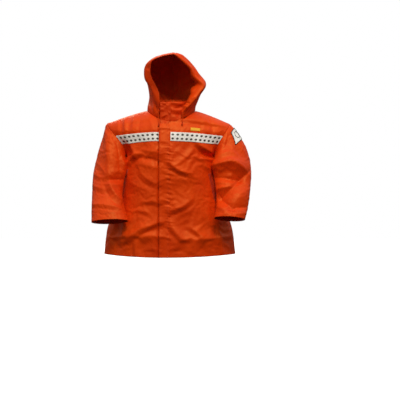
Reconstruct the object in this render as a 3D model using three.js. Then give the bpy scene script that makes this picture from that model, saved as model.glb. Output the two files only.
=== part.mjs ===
import * as THREE from 'three';

// A hooded rain jacket of coated cloth, standing open in the shape it has when it is worn.
// Millimetres, +Z up, +X the coat's own left, -Y its front. The origin is the middle of the
// neck, level with the inner ends of the shoulder seams. Every piece of cloth is a thin wall:
// its outer points are worked out first, then an inner skin is set a wall's depth behind them.

// Cloth and seams
const WALL = 2.0;
const SEAM_GAP = 0.3;
const LIE_GAP = 0.6;
const SHARP_SEAM_WEIGHT = 8;

// Centre front: the two fronts stop either side of the zip
const ZIP_RIGHT = -26;
const ZIP_LEFT = -14;
const FLAP_RIGHT = -42;
const FLAP_LEFT = 3;

// Neck seam, an ellipse seen from above that dips at the front
const NECK = { x: 8, half: 116, front: 112, back: 82, dip: 56, rise: 12 };
const HOOD_START = { right: 59, left: 63 };

// Body sections from the hem (level 0) to the armpits (level 1)
const BODY = [
  { level: 0.00, zMid: -699, zSide: -684, right: 314, left: 317, front: 166, back: 150, side: 10 },
  { level: 0.28, zMid: -566, zSide: -556, right: 297, left: 299, front: 157, back: 143, side: 8 },
  { level: 0.55, zMid: -436, zSide: -428, right: 250, left: 253, front: 152, back: 135, side: 7 },
  { level: 0.76, zMid: -338, zSide: -330, right: 223, left: 225, front: 151, back: 130, side: 7 },
  { level: 0.90, zMid: -274, zSide: -267, right: 211, left: 214, front: 151, back: 129, side: 7 },
  { level: 1.00, zMid: -228, zSide: -222, right: 208, left: 212, front: 150, back: 128, side: 8 },
];
const SIDE_ROUND = 2.25;
const BODY_STEPS = 17;

// Rows above the armpits: height at the middle of the panel, and place round the armhole,
// in degrees from the shoulder point (0) to the armpit (180)
const FRONT_ROWS = [
  { zMid: -228, depth: 150, arm: 180 },
  { zMid: -203, depth: 149, arm: 157 },
  { zMid: -176, depth: 146, arm: 131 },
  { zMid: -148, depth: 141, arm: 105 },
  { zMid: -127, depth: 137, arm: 90 },
  { zMid: -106, depth: 131, arm: 76 },
  { zMid: -82, depth: 124, arm: 60 },
];
const FRONT_CORNER_ARM = 48;
const FRONT_HOOD_ARM = 39;
const BACK_ROWS = [
  { zMid: -228, depth: 128, arm: 180 },
  { zMid: -188, depth: 129, arm: 155 },
  { zMid: -145, depth: 127, arm: 130 },
  { zMid: -98, depth: 120, arm: 105 },
  { zMid: -45, depth: 105, arm: 80 },
];
const BACK_CORNER_ARM = 56;
const NECK_STEPS = 5;
const BACK_NECK_STEPS = 8;
const COLUMNS = 9;

// Sleeves: the outer and inner edges as seen from the front, how far forward the arm reaches,
// the depth before and behind, and how far the rings are tucked in towards the body low down,
// at the front and at the back. The first row is the armhole, the last the cuff.
const SLEEVES = {
  right: [
    { at: 0.00, xOut: -303, zOut: -62, xIn: -208, zIn: -222, yOut: 5, yIn: 8,
      before: 70, behind: 74, tuck: 32, tuckBack: 22 },
    { at: 0.05, xOut: -309, zOut: -84, xIn: -210, zIn: -234, yOut: 3, yIn: -25,
      before: 66, behind: 76, tuck: 22, tuckBack: 14 },
    { at: 0.14, xOut: -320, zOut: -124, xIn: -205, zIn: -256, yOut: 0, yIn: -57,
      before: 60, behind: 74, tuck: 8, tuckBack: 4 },
    { at: 0.30, xOut: -342, zOut: -200, xIn: -205, zIn: -292, yOut: -16, yIn: -70,
      before: 56, behind: 66, tuck: 0, tuckBack: 0 },
    { at: 0.50, xOut: -363, zOut: -303, xIn: -216, zIn: -348, yOut: -46, yIn: -80,
      before: 54, behind: 60, tuck: 0, tuckBack: 0 },
    { at: 0.70, xOut: -366, zOut: -400, xIn: -221, zIn: -416, yOut: -90, yIn: -112,
      before: 54, behind: 55, tuck: 0, tuckBack: 0 },
    { at: 0.85, xOut: -366, zOut: -469, xIn: -208, zIn: -474, yOut: -126, yIn: -138,
      before: 53, behind: 50, tuck: 0, tuckBack: 0 },
    { at: 1.00, xOut: -365, zOut: -532, xIn: -191, zIn: -526, yOut: -158, yIn: -162,
      before: 50, behind: 47, tuck: 0, tuckBack: 0 },
  ],
  left: [
    { at: 0.00, xOut: 291, zOut: -64, xIn: 212, zIn: -222, yOut: 5, yIn: 8,
      before: 70, behind: 74, tuck: -16, tuckBack: -20 },
    { at: 0.05, xOut: 306, zOut: -80, xIn: 213, zIn: -234, yOut: 3, yIn: -25,
      before: 66, behind: 76, tuck: -12, tuckBack: -13 },
    { at: 0.14, xOut: 330, zOut: -112, xIn: 207, zIn: -255, yOut: 0, yIn: -57,
      before: 60, behind: 74, tuck: -4, tuckBack: -4 },
    { at: 0.30, xOut: 371, zOut: -186, xIn: 208, zIn: -290, yOut: -16, yIn: -70,
      before: 60, behind: 66, tuck: 0, tuckBack: 0 },
    { at: 0.50, xOut: 390, zOut: -285, xIn: 217, zIn: -345, yOut: -46, yIn: -80,
      before: 58, behind: 60, tuck: 0, tuckBack: 0 },
    { at: 0.70, xOut: 383, zOut: -390, xIn: 224, zIn: -410, yOut: -90, yIn: -110,
      before: 56, behind: 55, tuck: 0, tuckBack: 0 },
    { at: 0.85, xOut: 373, zOut: -460, xIn: 222, zIn: -464, yOut: -124, yIn: -136,
      before: 54, behind: 50, tuck: 0, tuckBack: 0 },
    { at: 1.00, xOut: 358, zOut: -520, xIn: 212, zIn: -512, yOut: -156, yIn: -160,
      before: 50, behind: 47, tuck: 0, tuckBack: 0 },
  ],
};
const SLEEVE_STEPS = 17;
const CUFF_LEAN = 12;

// Hood: its face opening on either side from the neck up to the peak, and the seam over the crown
const FACE_RIGHT = [
  { at: 0.00, x: -52, y: -96, z: -40 },
  { at: 0.10, x: -49, y: -116, z: 8 },
  { at: 0.20, x: -48, y: -124, z: 46 },
  { at: 0.27, x: -59, y: -123, z: 74 },
  { at: 0.37, x: -81, y: -117, z: 107 },
  { at: 0.46, x: -104, y: -110, z: 139 },
  { at: 0.56, x: -112, y: -106, z: 179 },
  { at: 0.63, x: -108, y: -107, z: 205 },
  { at: 0.72, x: -83, y: -113, z: 232 },
  { at: 0.82, x: -46, y: -122, z: 249 },
  { at: 0.92, x: -3, y: -131, z: 259 },
  { at: 1.00, x: 28, y: -138, z: 261 },
];
const FACE_LEFT = [
  { at: 0.00, x: 61, y: -100, z: -43 },
  { at: 0.06, x: 62, y: -110, z: -20 },
  { at: 0.15, x: 85, y: -118, z: 8 },
  { at: 0.25, x: 112, y: -120, z: 33 },
  { at: 0.41, x: 156, y: -110, z: 84 },
  { at: 0.49, x: 168, y: -104, z: 113 },
  { at: 0.63, x: 132, y: -105, z: 162 },
  { at: 0.75, x: 107, y: -112, z: 202 },
  { at: 0.91, x: 57, y: -128, z: 239 },
  { at: 1.00, x: 28, y: -138, z: 261 },
];
const CROWN = [
  { at: 0.00, x: 28, y: -138, z: 261 },
  { at: 0.20, x: 24, y: -60, z: 267 },
  { at: 0.38, x: 20, y: 18, z: 262 },
  { at: 0.55, x: 16, y: 92, z: 230 },
  { at: 0.70, x: 13, y: 132, z: 170 },
  { at: 0.86, x: 10, y: 128, z: 92 },
  { at: 1.00, x: 8, y: 82, z: 12 },
];
const HOOD_CORNER = -33.75;
const HOOD_BULGE = { right: 12, left: 22, back: 26, up: 10 };
const HOOD_COLUMNS = 20;
const NAPE_STEPS = 5;

// Collar: stands inside the hood
const COLLAR = { inset: 3.2, front: 39, back: 58, leanFront: 2, leanBack: 8, leanSide: 12, steps: 4 };

// Pieces that lie on a panel, placed by rows and columns of that panel's own grid
const FLAP_THICK = 2.2;
const BAND_THICK = 0.8;
const WELT_THICK = 2.0;
const WELTS = {
  right: { row0: 9.6, row1: 14.8, column0: 7.8, column1: 8.4 },
  left: { row0: 9.1, row1: 14.1, column0: 7.45, column1: 8.1 },
};
const TAB = { row0: 22.46, row1: 23.1, column0: 4.2, column1: 5.7, thick: 0.8 };
const PATCH = { row0: 1.0, row1: 3.3, column0: 7.6, column1: 12.8, thick: 1.2 };

// Drawcords
const CORD = { radius: 1.6, sides: 8 };
const CORD_END = { radius: 4.2, length: 15 };
const CORD_PATHS = {
  right: [[-49, -114.3, 2], [-49.4, -117.8, -1], [-49.8, -118.8, -12],
    [-49.8, -119.3, -30], [-49.2, -121, -46], [-48.4, -123.4, -60]],
  left: [[64, -111.7, -13], [64, -115.2, -16], [64.4, -116.2, -26],
    [64.2, -116.2, -38], [63.4, -116.4, -48], [62.4, -117, -56]],
};

// Folds: soft ridges (depth above 0) and troughs (below 0) along straight lines, as seen from
// the front or from behind. They die out within a sewn edge's reach.
const FOLDS = {
  front: [
    { x0: -200, z0: -175, x1: -160, z1: -238, depth: 9, width: 17 },
    { x0: -160, z0: -238, x1: -205, z1: -268, depth: 7, width: 15 },
    { x0: -148, z0: -238, x1: -48, z1: -222, depth: -7, width: 15 },
    { x0: -120, z0: -300, x1: -44, z1: -334, depth: -7, width: 17 },
    { x0: -190, z0: -330, x1: -90, z1: -372, depth: 4, width: 26 },
    { x0: -150, z0: -436, x1: -48, z1: -428, depth: -5, width: 18 },
    { x0: -180, z0: -612, x1: -46, z1: -545, depth: -8, width: 18 },
    { x0: -240, z0: -612, x1: -44, z1: -606, depth: 5, width: 16 },
    { x0: -150, z0: -620, x1: -156, z1: -716, depth: 7, width: 20 },
    { x0: -250, z0: -560, x1: -262, z1: -700, depth: -6, width: 26 },
    { x0: -240, z0: -30, x1: -232, z1: -108, depth: -5, width: 12 },
    { x0: -214, z0: -24, x1: -210, z1: -112, depth: 5, width: 12 },
    { x0: -168, z0: -18, x1: -180, z1: -112, depth: -5, width: 13 },
    { x0: -140, z0: -12, x1: -146, z1: -108, depth: 4, width: 13 },
    { x0: 140, z0: -164, x1: 206, z1: -210, depth: -11, width: 17 },
    { x0: 168, z0: -158, x1: 212, z1: -186, depth: 7, width: 12 },
    { x0: 150, z0: -232, x1: 200, z1: -252, depth: 7, width: 14 },
    { x0: 8, z0: -276, x1: 96, z1: -318, depth: -9, width: 13 },
    { x0: 20, z0: -262, x1: 120, z1: -262, depth: 4, width: 16 },
    { x0: 6, z0: -462, x1: 112, z1: -424, depth: 6, width: 13 },
    { x0: 8, z0: -438, x1: 90, z1: -418, depth: -5, width: 13 },
    { x0: 8, z0: -556, x1: 58, z1: -610, depth: -9, width: 13 },
    { x0: 16, z0: -550, x1: 110, z1: -592, depth: 6, width: 14 },
    { x0: 30, z0: -612, x1: 250, z1: -602, depth: 4, width: 18 },
    { x0: 100, z0: -560, x1: 158, z1: -616, depth: 5, width: 15 },
    { x0: 230, z0: -560, x1: 262, z1: -700, depth: 7, width: 26 },
    { x0: 190, z0: -40, x1: 208, z1: -116, depth: -4, width: 12 },
  ],
  back: [
    { x0: -200, z0: -170, x1: -120, z1: -262, depth: 8, width: 19 },
    { x0: 202, z0: -172, x1: 128, z1: -258, depth: 9, width: 18 },
    { x0: -110, z0: -62, x1: -150, z1: -150, depth: -5, width: 16 },
    { x0: 104, z0: -60, x1: 148, z1: -158, depth: -5, width: 17 },
    { x0: -150, z0: -330, x1: 20, z1: -362, depth: -7, width: 18 },
    { x0: 40, z0: -300, x1: 176, z1: -340, depth: -7, width: 17 },
    { x0: -60, z0: -420, x1: 110, z1: -404, depth: 5, width: 20 },
    { x0: -188, z0: -470, x1: -120, z1: -716, depth: 9, width: 26 },
    { x0: -20, z0: -500, x1: -8, z1: -716, depth: -8, width: 28 },
    { x0: 128, z0: -480, x1: 166, z1: -716, depth: 9, width: 26 },
    { x0: 232, z0: -540, x1: 250, z1: -700, depth: -7, width: 22 },
  ],
  sleeve_right: [
    { x0: -300, z0: -120, x1: -302, z1: -320, depth: 5, width: 26 },
    { x0: -286, z0: -336, x1: -226, z1: -376, depth: -8, width: 15 },
    { x0: -262, z0: -196, x1: -224, z1: -300, depth: -6, width: 16 },
    { x0: -370, z0: -300, x1: -300, z1: -330, depth: -4, width: 18 },
    { x0: -350, z0: -430, x1: -250, z1: -452, depth: -4, width: 16 },
  ],
  sleeve_left: [
    { x0: 226, z0: -256, x1: 306, z1: -246, depth: 10, width: 13 },
    { x0: 306, z0: -246, x1: 372, z1: -288, depth: 9, width: 13 },
    { x0: 232, z0: -288, x1: 330, z1: -276, depth: -9, width: 13 },
    { x0: 232, z0: -334, x1: 336, z1: -322, depth: -8, width: 15 },
    { x0: 230, z0: -350, x1: 300, z1: -356, depth: 6, width: 13 },
    { x0: 228, z0: -410, x1: 290, z1: -388, depth: -8, width: 13 },
    { x0: 230, z0: -424, x1: 300, z1: -462, depth: 8, width: 12 },
    { x0: 300, z0: -462, x1: 376, z1: -424, depth: 8, width: 12 },
  ],
  sleeve_back: [
    { x0: -352, z0: -250, x1: -262, z1: -300, depth: 8, width: 16 },
    { x0: -356, z0: -330, x1: -270, z1: -342, depth: -7, width: 16 },
    { x0: 376, z0: -240, x1: 280, z1: -296, depth: 8, width: 16 },
    { x0: 372, z0: -330, x1: 276, z1: -350, depth: -7, width: 16 },
  ],
  hood: [
    { x0: -112, z0: 60, x1: -84, z1: 0, depth: -6, width: 13 },
    { x0: -96, z0: 100, x1: -74, z1: 20, depth: 5, width: 12 },
    { x0: 118, z0: 40, x1: 84, z1: -10, depth: -5, width: 12 },
  ],
};

const radians = THREE.MathUtils.degToRad;

// A smooth curve through one named column of a table, at the heights given in column `key`
function smooth(table, key, column) {
  return (at) => {
    const last = table.length - 1;
    let i = table.findIndex((row) => row[key] > at) - 1;
    if (i < 0) i = at <= table[0][key] ? 0 : last - 1;
    const slope = (a, b) => (table[b][column] - table[a][column]) / (table[b][key] - table[a][key]);
    const tangent = (n) => slope(Math.max(n - 1, 0), Math.min(n + 1, last));
    const span = table[i + 1][key] - table[i][key];
    const t = THREE.MathUtils.clamp((at - table[i][key]) / span, 0, 1);
    const h = 1 - t;
    return table[i][column] * (1 + 2 * t) * h * h + table[i + 1][column] * (3 - 2 * t) * t * t
      + tangent(i) * span * t * h * h - tangent(i + 1) * span * t * t * h;
  };
}

function along(table, at) {
  return new THREE.Vector3(...['x', 'y', 'z'].map((axis) => smooth(table, 'at', axis)(at)));
}

function steps(from, to, count) {
  return Array.from({ length: count }, (_, n) => from + (to - from) * (n + 1) / count);
}

// A point on the neck seam: turn is 0 at the shoulder seam, 90 at the front, -90 at the nape
function neckPoint(side, turn) {
  const sign = side === 'left' ? 1 : -1;
  const c = Math.cos(radians(turn));
  const s = Math.sin(radians(turn));
  const y = s > 0 ? -NECK.front * s : -NECK.back * s;
  const z = s > 0 ? -NECK.dip * Math.pow(s, 2.2) : NECK.rise * s * s;
  return new THREE.Vector3(NECK.x + sign * NECK.half * c, y, z);
}

function neckCorner(side) {
  const x = side === 'left' ? ZIP_LEFT : ZIP_RIGHT;
  const sign = side === 'left' ? 1 : -1;
  return THREE.MathUtils.radToDeg(Math.acos(sign * (x - NECK.x) / NECK.half));
}

// A point on a sleeve: at 0 is the armhole and 1 the cuff; turn is 0 on the outer edge,
// 90 on the front, 180 on the inner edge and 270 on the back
function sleevePoint(side, at, turn) {
  const get = (column) => smooth(SLEEVES[side], 'at', column)(at);
  const outer = new THREE.Vector3(get('xOut'), get('yOut'), get('zOut'));
  const inner = new THREE.Vector3(get('xIn'), get('yIn'), get('zIn'));
  const middle = outer.clone().add(inner).multiplyScalar(0.5);
  const across = outer.clone().sub(inner).multiplyScalar(0.5);
  const c = Math.cos(radians(turn));
  const s = Math.sin(radians(turn));
  const depth = s > 0 ? get('before') : get('behind');
  const tuck = s > 0 ? get('tuck') * (1 - c) / 2 : get('tuckBack') * Math.pow((1 - c) / 2, 2);
  const tilt = CUFF_LEAN * THREE.MathUtils.smoothstep(at, 0.6, 1);
  return middle.addScaledVector(across, c)
    .add(new THREE.Vector3(tuck * s * s, -depth * s, tilt * s));
}

// One row of a front or back panel, from its middle edge to its side edge
function rowPoint({ middle, edge, round, droop }, q) {
  const bow = Math.pow(1 - Math.pow(q, 1 + round * 0.55), 1 / (1 + Math.max(0, round - 1)));
  return new THREE.Vector3(
    middle.x + (edge.x - middle.x) * q,
    edge.y + (middle.y - edge.y) * bow,
    middle.z + (edge.z - middle.z) * Math.pow(q, droop),
  );
}

function lowerRows(side, face, middleX) {
  const sign = side === 'left' ? 1 : -1;
  const rows = [];
  for (let n = 0; n < BODY_STEPS; n++) {
    const get = (column) => smooth(BODY, 'level', column)(n / BODY_STEPS);
    const depth = face === 'front' ? -get('front') : get('back');
    rows.push({
      middle: new THREE.Vector3(middleX, depth, get('zMid')),
      edge: new THREE.Vector3(sign * get(side), get('side'), get('zSide')),
      round: SIDE_ROUND,
      droop: 2,
    });
  }
  return rows;
}

function upperRows(side, face, middleX) {
  const front = face === 'front';
  const table = front ? FRONT_ROWS : BACK_ROWS;
  const rows = table.map(({ zMid, depth, arm }, n) => ({
    middle: new THREE.Vector3(middleX, front ? -depth : depth, zMid),
    edge: sleevePoint(side, 0, front ? arm : -arm),
    round: Math.max(1.15, SIDE_ROUND - n * 0.45),
    droop: 1.9,
  }));
  const necks = front
    ? [neckCorner(side), HOOD_START[side], ...steps(HOOD_START[side], 0, NECK_STEPS)]
    : [-90, ...steps(-90, 0, BACK_NECK_STEPS)];
  const arms = front
    ? [FRONT_CORNER_ARM, FRONT_HOOD_ARM, ...steps(FRONT_HOOD_ARM, 0, NECK_STEPS)]
    : [BACK_CORNER_ARM, ...steps(BACK_CORNER_ARM, 0, BACK_NECK_STEPS)];
  necks.forEach((turn, n) => rows.push({
    middle: neckPoint(side, turn),
    edge: sleevePoint(side, 0, front ? arms[n] : -arms[n]),
    round: 1.12,
    droop: 1.2,
  }));
  return rows;
}

// A panel's rows from the hem up; the first step of each row is the storm flap's edge at the
// front, and comes to the same share of the row in both panels along the shoulder seam
function bodyGrid(side, face, middleX, firstStep) {
  const rows = [...lowerRows(side, face, middleX), ...upperRows(side, face, middleX)];
  const even = Array.from({ length: COLUMNS + 2 }, (_, n) => n / (COLUMNS + 1));
  return rows.map((row, i) => {
    const width = Math.abs(row.edge.x - row.middle.x);
    const start = Math.min(firstStep / width, even[1]);
    const close = 1 + 0.5 * Math.min(1, row.round - 1);
    const spread = steps(0, 1, COLUMNS).map((t) => start + (1 - start) * (1 - Math.pow(1 - t, close)));
    const held = [0, start, ...spread];
    const settle = THREE.MathUtils.smoothstep(i, rows.length - 1 - NECK_STEPS, rows.length - 1);
    return held.map((q, n) => rowPoint(row, Math.min(1, q + (even[n] - q) * settle)));
  });
}

// The turns at which the panels' rows meet the armhole, so that the sleeve meets them exactly
function armTurns() {
  const front = [...FRONT_ROWS.map((row) => row.arm), FRONT_CORNER_ARM, FRONT_HOOD_ARM,
    ...steps(FRONT_HOOD_ARM, 0, NECK_STEPS)];
  const back = [...BACK_ROWS.map((row) => row.arm), BACK_CORNER_ARM,
    ...steps(BACK_CORNER_ARM, 0, BACK_NECK_STEPS)];
  return [...front.slice(0, -1), ...back.reverse().map((turn) => -turn)];
}

function sleeveGrid(side) {
  const turns = armTurns();
  const even = turns.map((_, n) => 180 - 360 * n / (turns.length - 1));
  return Array.from({ length: SLEEVE_STEPS + 1 }, (_, n) => {
    const at = n / SLEEVE_STEPS;
    const settle = THREE.MathUtils.smoothstep(at, 0, 0.45);
    return turns.map((turn, k) => sleevePoint(side, at, turn + (even[k] - turn) * settle));
  });
}

// A hood panel between its face edge, the crown seam and the neck seam
function hoodGrid(side) {
  const face = side === 'left' ? FACE_LEFT : FACE_RIGHT;
  const sign = side === 'left' ? 1 : -1;
  const front = [HOOD_START[side], ...steps(HOOD_START[side], 0, NECK_STEPS)];
  const rear = steps(0, HOOD_CORNER, 3);
  const bottom = [...front, ...rear].map((turn) => neckPoint(side, turn));
  const behind = [HOOD_CORNER, ...steps(HOOD_CORNER, -90, NAPE_STEPS), -90];
  const nape = behind.map((turn) => neckPoint(side, turn));
  const rows = bottom.length - 1;
  const corner = { a: bottom[0], b: along(face, 1), c: nape[NAPE_STEPS], d: bottom[rows] };
  return bottom.map((foot, i) => Array.from({ length: HOOD_COLUMNS + 1 }, (_, j) => {
    const r = i / rows;
    const w = j / HOOD_COLUMNS;
    const share = HOOD_COLUMNS / NAPE_STEPS;
    const k = Math.floor(j / share);
    const last = nape[k].clone().lerp(nape[k + 1], (j % share) / share);
    const faceAt = i === 0 && j === 0 ? bottom[0].clone() : along(face, w);
    const bulge = 16 * r * (1 - r) * w * (1 - w);
    const fullness = new THREE.Vector3(
      sign * HOOD_BULGE[side] * bulge,
      HOOD_BULGE.back * bulge * r,
      HOOD_BULGE.up * bulge,
    );
    return new THREE.Vector3()
      .addScaledVector(faceAt, 1 - r).addScaledVector(last, r)
      .addScaledVector(foot, 1 - w).addScaledVector(along(CROWN, r), w)
      .addScaledVector(corner.a, -(1 - r) * (1 - w)).addScaledVector(corner.b, -(1 - r) * w)
      .addScaledVector(corner.c, -r * w).addScaledVector(corner.d, -r * (1 - w))
      .add(fullness);
  }));
}

// The collar's rows run up; its columns go from the zip's right edge round the nape to its left
function collarTurns() {
  const half = (side) => [neckCorner(side), HOOD_START[side], ...steps(HOOD_START[side], 0, NECK_STEPS),
    ...steps(0, -90, BACK_NECK_STEPS)];
  const right = half('right').map((turn) => ({ side: 'right', turn }));
  const left = half('left').map((turn) => ({ side: 'left', turn }));
  return [...right, ...left.reverse().slice(1)];
}

function collarPoint(side, turn, rise) {
  const base = neckPoint(side, turn);
  const sign = side === 'left' ? 1 : -1;
  const c = sign * Math.cos(radians(turn));
  const s = Math.sin(radians(turn));
  const frontness = (1 + s) / 2;
  const leanMiddle = THREE.MathUtils.lerp(COLLAR.leanBack, COLLAR.leanFront, frontness);
  const lean = (leanMiddle + COLLAR.leanSide * c * c) * rise;
  const top = THREE.MathUtils.lerp(COLLAR.back, COLLAR.front, frontness);
  return new THREE.Vector3(
    base.x - c * (COLLAR.inset + lean),
    base.y + s * (COLLAR.inset + lean),
    base.z + (top - base.z) * rise,
  );
}

function collarGrid() {
  return Array.from({ length: COLLAR.steps + 1 }, (_, n) => collarTurns()
    .map(({ side, turn }) => collarPoint(side, turn, n / COLLAR.steps)));
}

// Folds
function foldDepth(folds, x, z) {
  return folds.reduce((sum, { x0, z0, x1, z1, depth, width }) => {
    const length = Math.hypot(x1 - x0, z1 - z0);
    const t = ((x - x0) * (x1 - x0) + (z - z0) * (z1 - z0)) / (length * length);
    const off = ((x - x0) * (z1 - z0) - (z - z0) * (x1 - x0)) / length;
    const taper = Math.exp(-Math.pow(Math.max(0, -t, t - 1) * length / width, 2));
    return sum + depth * taper * Math.exp(-Math.pow(off / width, 2));
  }, 0);
}

function edgeFade(distance) {
  return THREE.MathUtils.smoothstep(distance, 0, 2);
}

// Moves the points of a grid in or out by its folds; `sewn` says how near each point is to a seam
function fold(grid, normals, folds, facing, sewn) {
  return grid.map((row, i) => row.map((point, j) => {
    const turned = THREE.MathUtils.clamp(facing * normals[i][j].y * 1.6, 0, 1);
    const depth = foldDepth(folds, point.x, point.z) * turned * edgeFade(sewn(i, j));
    return point.clone().addScaledVector(normals[i][j], depth);
  }));
}

function gridNormals(grid, inside, wraps) {
  return grid.map((row, i) => row.map((point, j) => {
    const columns = row.length - (wraps ? 1 : 0);
    const next = wraps ? (j + 1) % columns : Math.min(j + 1, columns - 1);
    const before = wraps ? (j - 1 + columns) % columns : Math.max(j - 1, 0);
    const across = row[next].clone().sub(row[before]);
    const up = grid[Math.min(i + 1, grid.length - 1)][j].clone().sub(grid[Math.max(i - 1, 0)][j]);
    const normal = across.cross(up).normalize();
    return normal.dot(point.clone().sub(inside(point))) < 0 ? normal.negate() : normal;
  }));
}

// A piece of cloth: points shared by its quads, with each quad's corners in order
class Cloth {
  constructor(name, inside) {
    this.name = name;
    this.inside = inside;
    this.points = [];
    this.quads = [];
    this.found = new Map();
  }

  index(point) {
    const key = placeKey(point);
    if (!this.found.has(key)) {
      this.found.set(key, this.points.length);
      this.points.push(point);
    }
    return this.found.get(key);
  }

  add(grid, mirrored = false) {
    for (let i = 0; i + 1 < grid.length; i++) {
      for (let j = 0; j + 1 < grid[i].length; j++) {
        const corners = [grid[i][j], grid[i][j + 1], grid[i + 1][j + 1], grid[i + 1][j]];
        const quad = corners.map((corner) => this.index(corner));
        this.quads.push(mirrored ? [quad[0], quad[3], quad[2], quad[1]] : quad);
      }
    }
    return this;
  }

  // Turns the quads to face outwards and sums the face normals at each point
  settle() {
    const vote = this.quads.reduce((sum, quad) => {
      const total = quad.reduce((sumOfFour, k) => sumOfFour.add(this.points[k]), new THREE.Vector3());
      const middle = total.multiplyScalar(0.25);
      return sum + this.quadNormal(quad).dot(middle.clone().sub(this.inside(middle)));
    }, 0);
    if (vote < 0) this.quads = this.quads.map(([a, b, c, d]) => [a, d, c, b]);
    this.normals = this.points.map(() => new THREE.Vector3());
    this.quads.forEach((quad) => {
      const normal = this.quadNormal(quad);
      quad.forEach((k) => this.normals[k].add(normal));
    });
    this.normals.forEach((normal) => normal.normalize());
    return this;
  }

  quadNormal([a, b, c, d]) {
    const p = this.points;
    return p[c].clone().sub(p[a]).cross(p[d].clone().sub(p[b])).multiplyScalar(0.5);
  }

  // The open edges, each with the direction of its face and, once sewn, of its seam
  edges() {
    const open = new Map();
    this.quads.forEach((quad) => quad.forEach((from, n) => {
      const to = quad[(n + 1) % 4];
      if (from === to) return;
      if (open.has(`${to},${from}`)) open.delete(`${to},${from}`);
      else open.set(`${from},${to}`, { from, to, face: this.quadNormal(quad).normalize() });
    }));
    return [...open.values()];
  }

  // How far each point is held back so that the piece stays clear of what it is sewn to
  heldBack() {
    const sides = this.points.map(() => []);
    this.edges().forEach(({ from, to, face }) => {
      const run = this.points[to].clone().sub(this.points[from]).normalize();
      const inward = face.clone().cross(run);
      const seam = this.seams?.get(edgeKey(this, from, to)) ?? face;
      const across = seam.clone().cross(run).normalize();
      const bend = Math.sign(inward.dot(seam));
      const side = inward.dot(across) - bend * face.dot(across);
      [from, to].forEach((k) => sides[k].push(across.clone().multiplyScalar(Math.sign(side))));
    });
    return sides.map(([first, second]) => {
      if (!first) return new THREE.Vector3();
      const both = first.clone().add(second ?? first);
      return both.multiplyScalar((SEAM_GAP / 2 + 0.02) / Math.max(0.4, 1 + first.dot(second ?? first)));
    });
  }

  // The solid wall: outer skin, inner skin and the rims that close it
  solid(wall, lift = 0) {
    const edges = this.edges();
    const held = this.heldBack();
    const outer = this.points.map((point, k) => (
      point.clone().add(held[k]).addScaledVector(this.normals[k], lift)));
    const inner = outer.map((point, k) => point.clone().addScaledVector(this.normals[k], -wall));
    const count = outer.length;
    const faces = [];
    const face = (a, b, c) => {
      if (a !== b && b !== c && c !== a) faces.push(a, b, c);
    };
    this.quads.forEach(([a, b, c, d]) => {
      face(a, b, c);
      face(a, c, d);
      face(a + count, c + count, b + count);
      face(a + count, d + count, c + count);
    });
    edges.forEach(({ from, to }) => {
      const first = placeKey(this.points[from]) < placeKey(this.points[to]);
      face(to, from, first ? to + count : from + count);
      face(first ? from : to, from + count, to + count);
    });
    const geometry = new THREE.BufferGeometry();
    const numbers = [...outer, ...inner].flatMap((p) => p.toArray());
    geometry.setAttribute('position', new THREE.Float32BufferAttribute(numbers, 3));
    geometry.setIndex(faces);
    geometry.computeVertexNormals();
    return geometry;
  }
}

function placeKey(point) {
  return point.toArray().map((value) => Math.round(value * 50)).join(',');
}

function edgeKey(cloth, from, to) {
  return [placeKey(cloth.points[from]), placeKey(cloth.points[to])].sort().join('|');
}

// Where two pieces are sewn together they share one direction, so that their walls meet flush.
// A seam that folds the cloth back on itself, as under the arm, takes its own line first.
function sew(cloths) {
  const seams = new Map();
  cloths.forEach((cloth) => cloth.edges().forEach(({ from, to, face }) => {
    const key = edgeKey(cloth, from, to);
    if (!seams.has(key)) seams.set(key, { sum: new THREE.Vector3(), count: 0 });
    seams.get(key).sum.add(face);
    seams.get(key).count += 1;
  }));
  const shared = new Map();
  const add = (key, direction, weight) => {
    if (!shared.has(key)) shared.set(key, new THREE.Vector3());
    shared.get(key).addScaledVector(direction, weight);
  };
  cloths.forEach((cloth) => {
    cloth.points.forEach((point, k) => add(placeKey(point), cloth.normals[k], 1));
    cloth.seams = new Map();
    cloth.edges().forEach(({ from, to }) => {
      const key = edgeKey(cloth, from, to);
      const { sum, count } = seams.get(key);
      if (count !== 2) return;
      const seam = sum.clone().normalize();
      const sharp = 1 - sum.length() / 2;
      cloth.seams.set(key, seam);
      [from, to].forEach((k) => add(placeKey(cloth.points[k]), seam, SHARP_SEAM_WEIGHT * sharp * sharp));
    });
  });
  cloths.forEach((cloth) => cloth.points.forEach((point, k) => {
    cloth.normals[k] = shared.get(placeKey(point)).clone().normalize();
  }));
}

// A point of a panel between its rows and columns, on the same triangles as its solid
function onGrid(grid, row, column) {
  const i = Math.min(Math.floor(row), grid.length - 2);
  const j = Math.min(Math.floor(column), grid[0].length - 2);
  const v = row - i;
  const u = column - j;
  const far = grid[i + 1][j + 1].clone().multiplyScalar(Math.min(u, v));
  const near = grid[i][j].clone().multiplyScalar(1 - Math.max(u, v));
  const third = u >= v ? grid[i][j + 1] : grid[i + 1][j];
  return far.add(near).addScaledVector(third, Math.abs(u - v));
}

// Part of a panel between two rows and two columns, with a point wherever it crosses the
// panel's own rows and columns, so that it follows the panel's facets
function cut(grid, row0, row1, column0, column1) {
  const stops = (from, to) => {
    const first = Math.floor(from);
    const whole = Array.from({ length: Math.ceil(to) - first + 1 }, (_, n) => first + n);
    return [from, ...whole.filter((n) => n > from + 0.02 && n < to - 0.02), to];
  };
  return stops(row0, row1).map((row) => stops(column0, column1).map((column) => onGrid(grid, row, column)));
}

const bodyAxis = (point) => new THREE.Vector3(0, 0, point.z);
const hoodMiddle = () => new THREE.Vector3(12, -20, 110);
const neckAxis = (point) => new THREE.Vector3(NECK.x, -10, point.z);

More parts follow.
